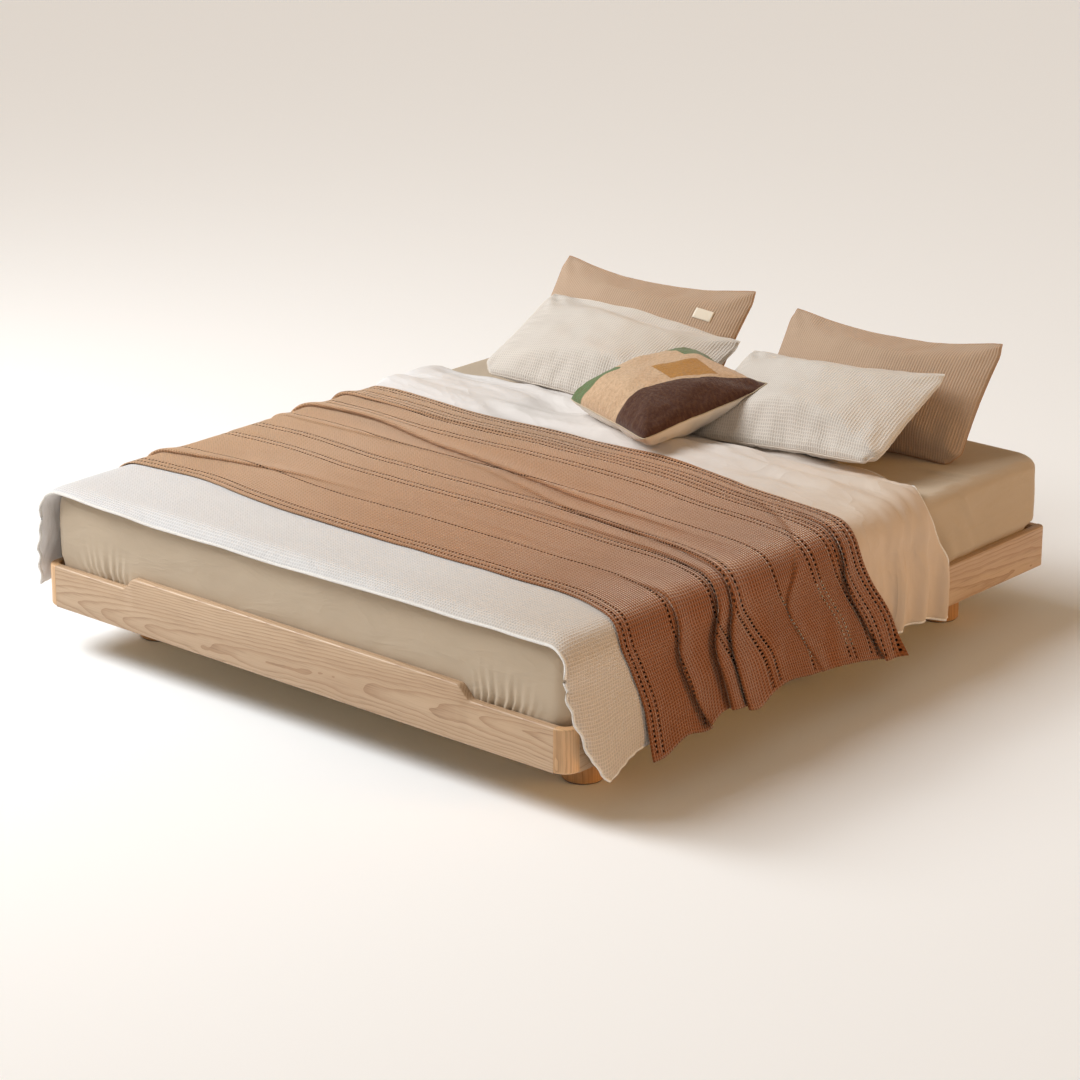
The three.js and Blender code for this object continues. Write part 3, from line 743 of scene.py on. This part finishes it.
def duvet():
    """Waffle cotton at the foot, folded back so that its smooth side shows near the pillows."""
    s, v, y = duvet_grid()
    rows, columns = s.shape
    points = np.stack(over_bed(s, y, head_loft(s, y), duvet_hem(s, y), duvet_flare(s, y)), -1)
    points = foot_lip(points, s)
    normals = grid_normals(points)
    points = points + normals * (duvet_wrinkles(s, y) + seersucker(s, y))[..., None]
    flat = 1 - smooth(BEND_START, BEND_START + BEND_LENGTH, np.abs(s))
    from_edge = np.minimum.reduce([v * columns, (1 - v) * columns, (REACH - np.abs(s)) / DUVET_STEP])
    rounded = 0.42 + 0.58 * np.sqrt(np.clip(from_edge / 2.2, 0, 1))
    thickness = (DUVET_THICKNESS + 0.9 * head_loft(s, y) * flat) * rounded
    half = normals * (thickness / 2)[..., None]
    rolled_hem(points.reshape(-1, 3)[rim(rows, columns)])
    obj = two_sided("duvet_cover", points + half, points - half, np.stack([s, y], -1))
    wear(obj, "waffle_white", "plain_white")
    smooth_side_shows(obj, y)
    add_modifier(obj, "finer", "SUBSURF", levels=1, render_levels=1)
    return obj


def rolled_hem(edge):
    """The narrow rolled hem all round the duvet cover."""
    hem = tube("duvet_hem", edge, 0.0042)
    wear(hem, "hem_white")
    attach(hem, "bedding")


def head_loft(s, y):
    """The folded-back part stands higher behind the throw and thins towards its edge."""
    along = smooth(THROW_HEAD - 0.02, THROW_HEAD + 0.09, y) * (1 - 0.62 * smooth(0.36, DUVET_HEAD, y))
    return 0.013 * along * (1 + 0.25 * ripple(s * 2.3, y * 5, 8)) * (1 - below_bend(s))


def foot_lip(points, s):
    """The foot edge overhangs the mattress a little and droops."""
    points = points.copy()
    near = 1 - smooth(FOOT_END + 0.005, FOOT_END + 0.065, points[..., 1])
    flat = 1 - smooth(BEND_START, BEND_START + 0.1, np.abs(s))
    droop = 0.014 + 0.009 * ripple(s * 2.4, s * 0, 4)
    points[..., 2] -= near**1.5 * flat * droop
    return points


def beyond_throw(y):
    """0 at the foot and under the throw, 1 on the smooth part at the head."""
    return smooth(THROW_HEAD - 0.01, THROW_HEAD + 0.05, y)


def duvet_wrinkles(s, y):
    """Long soft creases on the smooth part and folds on the drops."""
    down = below_bend(s)
    head = beyond_throw(y)
    on_drop = smooth(0.0, 0.7, down)
    broad = 0.0024 * ripple(s * 4, y * 5, 31)
    line = y + 0.03 * ripple(s * 1.6, y * 2, 34)
    on_top = head * (1 - on_drop)
    creases = 0.017 * on_top * ripple(s * 2.6, line * 15, 32)
    sharp = 0.022 * on_top * (0.2 - np.abs(ripple(s * 3.5, line * 20, 35, 2)))
    shoulder = 0.012 * head * bell(np.abs(s), BEND_START + 0.03, 0.05) * bell(y, 0.47, 0.035)
    pleats = 0.006 * on_drop * ripple(s * 0.4, y * 9, 33, 2)
    phase = (y - 0.40) * 2 * math.pi / 0.105 + 1.4 * down + 1.2 * ripple(y * 7, s * 0, 36)
    fold = 0.5 + 0.5 * np.cos(phase)
    hang = smooth(-0.15, 0.6, down) * head * (0.024 * fold**2 - 0.004)
    return broad + creases + sharp + shoulder + pleats + hang


def seersucker(s, y):
    """Ribs that run down the drops of the waffle part."""
    down = below_bend(s)
    rib = np.sin(2 * math.pi * (y + 0.05 * down) / 0.034)
    return 0.0020 * (1 - beyond_throw(y)) * smooth(0.0, 0.4, down) * rib


def smooth_side_shows(obj, y):
    """Faces from the fold to the head edge show the smooth reverse."""
    centres = (y[:-1, :-1] + y[1:, 1:]) / 2
    top = (centres > (THROW_FOOT + THROW_HEAD) / 2).ravel().astype(int)
    kinds = np.zeros(len(obj.data.polygons), int)
    kinds[: len(top)] = top
    kinds[len(top) : 2 * len(top)] = 1
    obj.data.polygons.foreach_set("material_index", kinds)


# ---------------- the knitted throw
THROW_THICKNESS = 0.0036
THROW_LIFT = DUVET_THICKNESS / 2 + 0.0015 + THROW_THICKNESS / 2
KNIT_CELL = 0.0054  # along the bed, between the lines of the throw's grid
EYELET_ACROSS, EYELET_ALONG = 0.0058, 0.0070  # one eyelet's size
# The eyelet rows' distances from the head hem.
EYELET_ROWS = (
    0.014, 0.032, 0.066, 0.088, 0.11, 0.132, 0.20, 0.222,
    0.37, 0.50, 0.522, 0.61, 0.632, 0.80, 0.955, 0.978,
)
# Folds running across the bed. Each has the line it follows, as (distance across in the cloth,
# place along the bed), and its height, as (distance across, height).
THROW_FOLDS = (
    (
        ((-1.24, -0.02), (-0.98, -0.04), (-0.7, 0), (-0.3, -0.07), (0.3, -0.17), (1.24, -0.25)),
        ((-1.24, 0.01), (-0.9, 0.017), (-0.3, 0.017), (0.3, 0.012), (0.7, 0.003), (1.24, 0)),
    ),
    (
        ((-1.24, -0.13), (-0.83, -0.144), (-0.2, -0.14), (0.3, -0.255),
         (0.73, -0.32), (1.04, -0.385), (1.24, -0.355)),
        ((-1.24, 0.006), (-0.8, 0.008), (-0.2, 0.004), (0.3, 0.01),
         (0.8, 0.017), (1.05, 0.03), (1.24, 0.032)),
    ),
    (
        ((-1.24, -0.35), (-0.5, -0.33), (0.33, -0.345), (0.83, -0.4), (1.04, -0.46), (1.24, -0.43)),
        ((-1.24, 0.002), (0, 0.002), (0.4, 0.008), (0.8, 0.011), (1.05, 0.024), (1.24, 0.028)),
    ),
    (
        ((-1.24, -0.66), (-0.89, -0.603), (-0.6, -0.535), (0, -0.52),
         (0.9, -0.6), (1.04, -0.61), (1.24, -0.52)),
        ((-1.24, 0.016), (-0.85, 0.016), (-0.5, 0.01), (-0.1, 0.001),
         (0.7, 0.002), (0.95, 0.012), (1.24, 0.026)),
    ),
    (
        ((-1.24, 0.14), (-0.56, 0.12), (0.4, 0.15), (0.64, 0.105), (0.84, -0.02), (1, -0.17), (1.24, -0.07)),
        ((-1.24, 0.01), (-0.9, 0.012), (-0.4, 0.006), (0.3, 0.002),
         (0.85, 0.008), (1.05, 0.008), (1.24, 0.006)),
    ),
    (
        ((-1.24, 0.2), (0.3, 0.19), (0.7, 0.13), (0.95, 0.07), (1.04, 0.085), (1.24, 0.21)),
        ((-1.24, 0.003), (0.4, 0), (0.8, 0.006), (1.05, 0.02), (1.24, 0.018)),
    ),
)
# The hem's height on the drops, along the bed.
THROW_HEM = (
    (-0.80, 0.103), (-0.72, 0.104), (-0.65, 0.130), (-0.54, 0.126), (-0.50, 0.150), (-0.38, 0.141),
    (-0.31, 0.126), (-0.27, 0.145), (-0.12, 0.142), (0.09, 0.117), (0.20, 0.094), (0.30, 0.080),
)
# How far each long edge strays from straight, across the bed.
THROW_FOOT_EDGE = (
    (-1.24, -0.02), (-0.9, 0.014), (-0.64, 0.040), (-0.4, 0.009), (0.5, -0.007), (0.77, -0.016),
    (0.9, -0.062), (0.96, -0.080), (1.02, -0.050), (1.1, -0.022), (1.24, -0.012),
)
THROW_HEAD_EDGE = (
    (-1.24, 0.03), (-0.95, 0.0), (-0.78, 0.007), (-0.48, -0.007), (-0.1, 0.013), (0.33, 0.003),
    (0.55, -0.04), (0.81, -0.071), (0.97, -0.095), (1.04, -0.06), (1.15, 0.015), (1.24, 0.05),
)


def fold_field(s, y):
    """Height of the folds at each place, and how far they lap over towards the foot."""
    height, lean = np.zeros_like(s), np.zeros_like(s)
    for n, (line, size) in enumerate(THROW_FOLDS):
        crest = through(s, line) + 0.006 * ripple(s * 3, s * 0 + n * 9, 41)
        size = through(s, size) * (0.85 + 0.25 * ripple(s * 2.2, s * 0 + n * 5, 42))
        width = 0.012 + 0.5 * size
        footward = y < crest
        height += size * bell(y, crest, np.where(footward, 0.9, 1.9) * width)
        lap = smooth(crest - 1.35 * width, crest, y) * np.where(footward, 1.0, bell(y, crest, 2.6 * width))
        lean += 2.1 * size * lap
    return height, lean


def throw_blanket():
    """The knitted throw follows the duvet's wrinkles and lies in folds of its own."""
    rows = int(2 * REACH / EYELET_ACROSS)
    steps, is_eyelet = knit_columns(THROW_HEAD - THROW_FOOT)
    s, v = np.meshgrid(np.linspace(-REACH, REACH, rows), steps / steps[-1], indexing="ij")
    foot, head = THROW_FOOT + through(s, THROW_FOOT_EDGE), THROW_HEAD + through(s, THROW_HEAD_EDGE)
    y = foot + v * (head - foot)
    from_head = (1 - v) * steps[-1]
    lift = THROW_LIFT + 0.95 * head_loft(s, y)
    flare = duvet_flare(s, y) + 0.008 + 0.006 * (1 + ripple(y * 4, s * 0, 51))
    points = np.stack(over_bed(s, y, lift, through(y, THROW_HEM), flare), -1)
    height, lean = fold_field(s, y)
    height += 0.0014 * (1 + ripple(s * 6, y * 16, 52)) + duvet_wrinkles(s, y)
    height += 0.003 * below_bend(s) * (1 + ripple(s * 1.5, y * 12, 53, 2))
    points = points + grid_normals(points) * height[..., None]
    points[..., 1] -= lean
    half = grid_normals(points) * THROW_THICKNESS / 2
    cloth = np.stack([s, from_head], -1)
    holes = eyelets(s, from_head, is_eyelet)
    obj = two_sided("knitted_throw", points + half, points - half, cloth, *holes)
    # The eyelets are lined with painted shade, and on part of the right-hand drop with painted light.
    wear(obj, "knit", "knit_eyelet_painted_shade", "knit_eyelet_painted_light")
    return obj


def knit_columns(width):
    """Places of the grid's lines from the foot hem on, and which gaps between them are eyelet rows."""
    steps, is_eyelet = [0.0], []
    for row in sorted(width - r for r in EYELET_ROWS) + [width]:
        plain = max(1, round((row - steps[-1]) / KNIT_CELL))
        steps += list(np.linspace(steps[-1], row, plain + 1)[1:])
        is_eyelet += [False] * plain
        if row < width:
            steps.append(row + EYELET_ALONG)
            is_eyelet.append(True)
    return np.array(steps), np.array(is_eyelet)


def eyelets(s, from_head, is_eyelet):
    """Every second cell of each eyelet row; on the right-hand drop some are lined pale, painted light in
    place of the lit duvet behind.
    """
    rows, columns = s.shape[0] - 1, s.shape[1] - 1
    holes = np.zeros((rows, columns), bool)
    for n, column in enumerate(np.flatnonzero(is_eyelet)):
        holes[(n % 2) + 2 :: 2, column] = True
    holes[:2] = holes[-2:] = False
    across = s[:-1, :-1]
    lit = (across > BEND_START + BEND_LENGTH) & (across < REACH - 0.05)
    band = (from_head[:-1, :-1] > 0.19) & (from_head[:-1, :-1] < 0.38)
    # Painted light goes into the eyelets of this band on the right-hand drop.
    return holes, holes & lit & band


# ---------------- pillows and cushion
def flat_cover(name, width, height, cell=0.012, puff=0.09):
    """Two layers of cloth sewn round their edge, already a little puffed."""
    u, v = (np.linspace(-1, 1, round(length / cell) + 1) for length in (width, height))
    uu, vv = np.meshgrid(u, v, indexing="ij")
    swell = np.sqrt(np.clip((1 - uu**4) * (1 - vv**4), 0, 1))
    flat = np.stack([uu * width / 2, vv * height / 2], -1)
    layers = [np.concatenate([flat, side * puff * swell[..., None] / 2], -1) for side in (1, -1)]
    rows, columns = uu.shape
    count = rows * columns
    edge = rim(rows, columns)
    same = np.arange(2 * count)
    same[edge + count] = edge
    faces = np.concatenate([quads(rows, columns), same[quads(rows, columns, count, flip=True)]])
    kept, renumbered = np.unique(faces, return_inverse=True)
    points = np.array(layers).reshape(-1, 3)[kept]
    obj = new_object(name, points, renumbered.reshape(-1, 4), points[:, :2])
    obj["edge"] = np.searchsorted(kept, edge).tolist()
    obj["front_faces"] = len(quads(rows, columns))
    return obj


PULL_IN = 0.15  # how much of the blown-up cover's narrowing a soft filling really gives
COTTON = dict(
    quality=6,
    mass=0.25,
    tension_stiffness=30,
    compression_stiffness=30,
    shear_stiffness=12,
    bending_stiffness=5.0,
    air_damping=2.5,
    use_pressure=True,
    uniform_pressure_force=3.2,
)


def inflate(objects, frames=26):
    """Blows the sewn covers up as cloth under pressure, all in one run."""
    for obj in objects:
        cloth = obj.modifiers.new("cloth", "CLOTH")
        for key, value in COTTON.items():
            setattr(cloth.settings, key, value)
        cloth.settings.effector_weights.gravity = 0
        cloth.collision_settings.use_collision = False
        cloth.point_cache.frame_end = frames + 1
    for number in range(1, frames + 1):
        scene.frame_set(number)
    depsgraph = bpy.context.evaluated_depsgraph_get()
    shapes = [coordinates(obj.evaluated_get(depsgraph)) for obj in objects]
    for obj, blown in zip(objects, shapes):
        obj.modifiers.clear()
        flat = coordinates(obj)
        blown[:, :2] = flat[:, :2] + PULL_IN * (blown[:, :2] - flat[:, :2])
        set_coordinates(obj, blown)
    scene.frame_set(1)


def coordinates(obj):
    co = np.zeros(len(obj.data.vertices) * 3)
    obj.data.vertices.foreach_get("co", co)
    return co.reshape(-1, 3)


def set_coordinates(obj, co):
    obj.data.vertices.foreach_set("co", np.asarray(co, float).ravel())
    obj.data.update()


def fit_to(obj, width, height, thickness):
    """Scales the blown-up cover to its filled size and centres it."""
    co = coordinates(obj)
    co -= (co.max(0) + co.min(0)) / 2
    co *= np.array([width, height, thickness]) / (co.max(0) - co.min(0))
    set_coordinates(obj, co)


def bow_sides(obj, width, height, sag, round_ears):
    """Draws the sides in between the ears, rounds the ears off and lets the filling sink.

    sag is how far the upper long side comes in.
    """
    co = coordinates(obj)
    u, v = np.clip(co[:, 0] / (width / 2), -1, 1), np.clip(co[:, 1] / (height / 2), -1, 1)
    upper = smooth(-0.4, 0.6, v)
    co[:, 1] *= 1 - sag * (0.25 + 0.75 * upper) / (height / 2) * (1 - np.abs(u) ** 2.4) * np.abs(v)
    co[:, 0] *= 1 - 0.3 * sag / (width / 2) * (1 - v * v) * np.abs(u)
    co[:, 2] *= (1 - 0.2 * v) * (1 - 0.22 * smooth(0.5, 1.0, np.maximum(np.abs(u), np.abs(v))))
    ear = smooth(0.84, 1.0, np.abs(u)) * smooth(0.72, 1.0, np.abs(v))
    co[:, :2] *= (1 - (0.085 - 0.05 * upper) * round_ears * ear)[:, None]
    set_coordinates(obj, co)


def pose_matrix(at, lean, turn, roll):
    turned = Matrix.Rotation(math.radians(turn), 4, "Z") @ Matrix.Rotation(math.radians(lean), 4, "X")
    return Matrix.Translation(at) @ turned @ Matrix.Rotation(math.radians(-roll), 4, "Y")


def through_thickness(matrix):
    """The direction out of a posed pillow's front."""
    return (matrix.to_3x3() @ Vector((0, 0, 1))).normalized()


def surface_under(tree, point):
    """The height of the surface straight below a point, or None."""
    hit = tree.ray_cast(Vector((point[0], point[1], 1.5)), Vector((0, 0, -1)))[0]
    return None if hit is None else hit.z


def settle(obj, matrix, neighbours, bed, sink, thinnest=0.014, clearance=0.0012):
    """Squeezes a posed pillow, through its thickness, against those behind it, then sets it on the bed.

    obj is still lying flat in its own axes, and matrix is the pose it is about to take. sink is how
    much of its lowest edge is pressed flat by the bed, or None where its height is right already.
    """
    co = coordinates(obj)
    axis = through_thickness(matrix)
    reach = 0.4
    world = [matrix @ Vector(p) for p in co]
    if sink is not None:
        below = [surface_under(bed, p) for p in world]
        lowest = min(p.z - z for p, z in zip(world, below) if z is not None)
        drop = Vector((0, 0, max(-0.02, min(0.02, lowest + sink))))
        world = [p - drop for p in world]
    swell = np.clip(np.abs(co[:, 2]) / 0.05, 0, 1)
    front = co[:, 2] > 0
    raised = np.zeros(len(co))
    for tree in neighbours:
        for k, p in enumerate(world):
            hit = tree.ray_cast(p + axis * reach, -axis, reach * 1.4)
            if hit[0] is None:
                continue
            need = reach - hit[3] + clearance + (thinnest * swell[k] if front[k] else 0.0)
            raised[k] = max(raised[k], need)
    placed = np.array(world) + raised[:, None] * np.array(axis)
    for p in placed:
        below = surface_under(bed, p)
        if below is not None:
            p[2] = max(p[2], below + clearance)
    set_coordinates(obj, placed)


def evaluated_surface(objects):
    """The finished surface of some pieces, with their modifiers."""
    depsgraph = bpy.context.evaluated_depsgraph_get()
    points, faces = [], []
    for obj in objects:
        mesh = obj.evaluated_get(depsgraph).to_mesh()
        first = len(points)
        points += [v.co.copy() for v in mesh.vertices]
        faces += [[first + k for k in p.vertices] for p in mesh.polygons]
    return BVHTree.FromPolygons(points, faces)


def corner_puckers(obj, width, height, depth):
    """Small pleats fan in from the seam, deepest near the ears."""
    co = coordinates(obj)
    u, v = co[:, 0] / (width / 2), co[:, 1] / (height / 2)
    ears = np.clip((np.abs(u) + np.abs(v) - 1.0) / 0.7, 0, 1)
    from_seam = 1 - np.maximum(np.abs(u), np.abs(v))
    band = smooth(0.0, 0.06, from_seam) * (1 - smooth(0.1, 0.34, from_seam))
    direction = np.arctan2((1.02 - np.abs(v)) * height, (1.02 - np.abs(u)) * width)
    along_seam = np.where(np.abs(u) * width > np.abs(v) * height, co[:, 1], co[:, 0])
    pleat = np.sin(along_seam / 0.0052 + 2.5 * ripple(along_seam * 22, u * 3, 61)) * 0.0012 * band
    fan = np.sin(direction * 9 + 2.5 * ripple(u * 4, v * 4, 62))
    fold = fan * 0.004 * ears * smooth(0, 0.15, from_seam)
    soft = 0.004 * ripple(u * 3.2, v * 2.4, 63, 3) * smooth(0.05, 0.3, from_seam)
    co[:, 2] += np.sign(co[:, 2]) * depth * (pleat + fold + soft)
    set_coordinates(obj, co)


def surface_of(obj):
    mesh = obj.data
    return BVHTree.FromPolygons([v.co for v in mesh.vertices], [p.vertices for p in mesh.polygons])


# lean is the angle up from lying flat, sag how far the upper long side draws in, ears how much the
# corners are rounded off, pucker how strongly the seams gather and sink how much of the lowest edge
# is pressed flat by the bed. Those behind come first.
BROWN = dict(lean=50, ears=1.0, pucker=1.0, sink=0.012, slot="brown_waffle")
WHITE = dict(lean=25, ears=1.0, pucker=1.6, sag=0.024, slot="white_waffle")
CUSHION = dict(lean=13, ears=0.3, pucker=1.8, sag=0.014, slot="patch_canvas")
PILLOWS = {
    "brown_pillow_left": dict(
        BROWN, at=(-0.418, 0.862, 0.606), size=(0.722, 0.42, 0.17), turn=3, roll=0, sag=0.04
    ),
    "brown_pillow_right": dict(
        BROWN, at=(0.456, 0.866, 0.602), size=(0.712, 0.408, 0.17), turn=5, roll=1, sag=0.038
    ),
    "white_pillow_left": dict(
        WHITE, at=(-0.372, 0.690, 0.558), size=(0.715, 0.405, 0.18), turn=2, roll=-3, sink=0.014
    ),
    "white_pillow_right": dict(
        WHITE, at=(0.406, 0.640, 0.558), size=(0.69, 0.415, 0.185), turn=3, roll=5, sink=0.016
    ),
    "cushion": dict(
        CUSHION, at=(0.034, 0.460, 0.580), size=(0.425, 0.425, 0.175), turn=-20, roll=-1.5, sink=None
    ),
}
LABEL_PLACE = (0.237, 0.068)  # across and up from the middle of the left brown pillow
LABEL_SIZE = (0.056, 0.034)
SEWN_LARGER = 1.08  # a cover before it is filled, against its filled size


def pillows(bed):
    """Sewn flat, blown up, shaped and set down one against the other; bed is the surface under them."""
    made = {}
    for name, spec in PILLOWS.items():
        width, height = (SEWN_LARGER * c for c in spec["size"][:2])
        made[name] = flat_cover(name + "_filled", width, height)
    inflate(list(made.values()))
    placed = []
    for name, spec in PILLOWS.items():
        obj = made[name]
        width, height = spec["size"][:2]
        fit_to(obj, *spec["size"])
        bow_sides(obj, width, height, spec["sag"], spec["ears"])
        corner_puckers(obj, width, height, spec["pucker"])
        matrix = pose_matrix(Vector(spec["at"]), spec["lean"], spec["turn"], spec["roll"])
        settle(obj, matrix, placed, bed, spec["sink"])
        placed.append(surface_of(obj))
        dress(obj, name)
        stand_for(obj, name)
        if name == "brown_pillow_left":
            sewn_label(obj, matrix, LABEL_PLACE, LABEL_SIZE)


def dress(obj, name):
    """Cover material and the ridge of the seam round the edge."""
    kind = name.split("_")[0]
    if kind == "cushion":
        wear(obj, "colour_blocks", "cream")
        backs = np.arange(len(obj.data.polygons)) >= obj["front_faces"]
        obj.data.polygons.foreach_set("material_index", backs.astype(int))
    else:
        wear(obj, "waffle_" + kind + "_pillow")
    add_modifier(obj, "finer", "SUBSURF", levels=1, render_levels=1)
    finished = obj.evaluated_get(bpy.context.evaluated_depsgraph_get()).data
    # A subdivided mesh keeps its first points in their old order.
    cord = tube(name + "_seam", [finished.vertices[k].co[:] for k in obj["edge"]], 0.0016)
    wear(cord, "seam_" + kind)
    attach(cord, "bedding")


def sewn_label(pillow, matrix, at, size):
    """A plain cream patch lying on the pillow's front, at a place given in the pillow's own axes."""
    tree = surface_of(pillow)
    axis = through_thickness(matrix)
    across, up = np.meshgrid(np.linspace(-0.5, 0.5, 13), np.linspace(-0.5, 0.5, 9), indexing="ij")
    cloth = np.stack([across * size[0], up * size[1]], -1)
    top = np.zeros((*across.shape, 3))
    for place in np.ndindex(across.shape):
        start = matrix @ Vector((*(np.array(at) + cloth[place]), 0)) + axis * 0.4
        top[place] = tree.ray_cast(start, -axis)[0] + axis * 0.0022
    label = two_sided("pillow_label", top, top - np.array(axis) * 0.0012, cloth)
    wear(label, "label")
    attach(label, "bedding")


# ---------------- put the bedding together
def stand_for(obj, node):
    """Puts a soft piece on the bedding body, in the place of its plain CAD solid."""
    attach(obj, "bedding")
    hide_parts(node)


bed_mattress = mattress()
stand_for(bed_mattress, "mattress")

bed_duvet = duvet()
stand_for(bed_duvet, "duvet")

bed_throw = throw_blanket()
stand_for(bed_throw, "throw_blanket")

pillows(bed=evaluated_surface([bed_mattress, bed_duvet]))


# ---------------- floor, light and camera
FLOOR_HALF = 45.0


def studio():
    corners = [(x * FLOOR_HALF, y * FLOOR_HALF, 0) for x, y in ((-1, -1), (1, -1), (1, 1), (-1, 1))]
    floor = new_object("floor", corners, [(0, 1, 2, 3)])
    Shader("pale_floor", 0.9, specular=0.1).set("Base Color", rgb(244, 245, 246))
    wear(floor, "pale_floor")
    scene.world = pale_sky()
    soft_light("key", (-3.4, -2.2, 3.4), (-0.1, 0.0, 0.3), 2.1, 150, (0.94, 0.975, 1.0))
    far_light("sky", (-3.4, -2.0, 4.6), 0.6, 1.85, (0.95, 0.98, 1.0))
    far_light("warm_side", (5.2, 2.3, 1.7), 0.35, 1.0, (1.0, 0.49, 0.09))


def pale_sky():
    """A dim warm dome that is brighter along the horizon."""
    world = bpy.data.worlds.new("studio")
    world.use_nodes = True
    nodes, links = world.node_tree.nodes, world.node_tree.links
    height = nodes.new("ShaderNodeSeparateXYZ")
    links.new(nodes.new("ShaderNodeTexCoord").outputs["Generated"], height.inputs[0])
    ramp = nodes.new("ShaderNodeValToRGB")
    stops = (0.02, (0.72, 0.69, 0.645, 1.0)), (0.34, (0.28, 0.228, 0.172, 1.0))
    for element, (height_share, colour) in zip(ramp.color_ramp.elements, stops):
        element.position = height_share
        element.color = colour
    links.new(height.outputs[2], ramp.inputs[0])
    links.new(ramp.outputs[0], nodes["Background"].inputs["Color"])
    return world


def soft_light(name, at, towards, size, power, colour):
    """A round panel of light."""
    light = bpy.data.lights.new(name, "AREA")
    light.shape = "DISK"
    light.size = size
    light.energy = power
    light.color = colour
    aimed(light, at, towards)


def far_light(name, at, angle, strength, colour):
    """Light that falls evenly over the whole floor, from the direction of a point."""
    light = bpy.data.lights.new(name, "SUN")
    light.angle = angle
    light.energy = strength
    light.color = colour
    aimed(light, at, (0, 0, 0))


def aimed(light, at, towards):
    """Puts a light in the scene, facing a point."""
    obj = bpy.data.objects.new(light.name, light)
    obj.location = at
    obj.rotation_euler = (Vector(towards) - Vector(at)).to_track_quat("-Z", "Y").to_euler()
    scene.collection.objects.link(obj)


def camera():
    """Beyond the right foot corner, looking down a little, through a long lens."""
    data = bpy.data.cameras.new("camera")
    data.lens = 116.6
    data.sensor_width = 36.0
    data.clip_end = 100.0
    obj = bpy.data.objects.new("camera", data)
    obj.location = (5.9875, -6.924, 3.3917)
    obj.rotation_euler = (math.radians(90 - 18.925), 0.0, math.radians(41.06))
    scene.collection.objects.link(obj)
    scene.camera = obj


studio()
camera()
scene.view_settings.view_transform = "Standard"
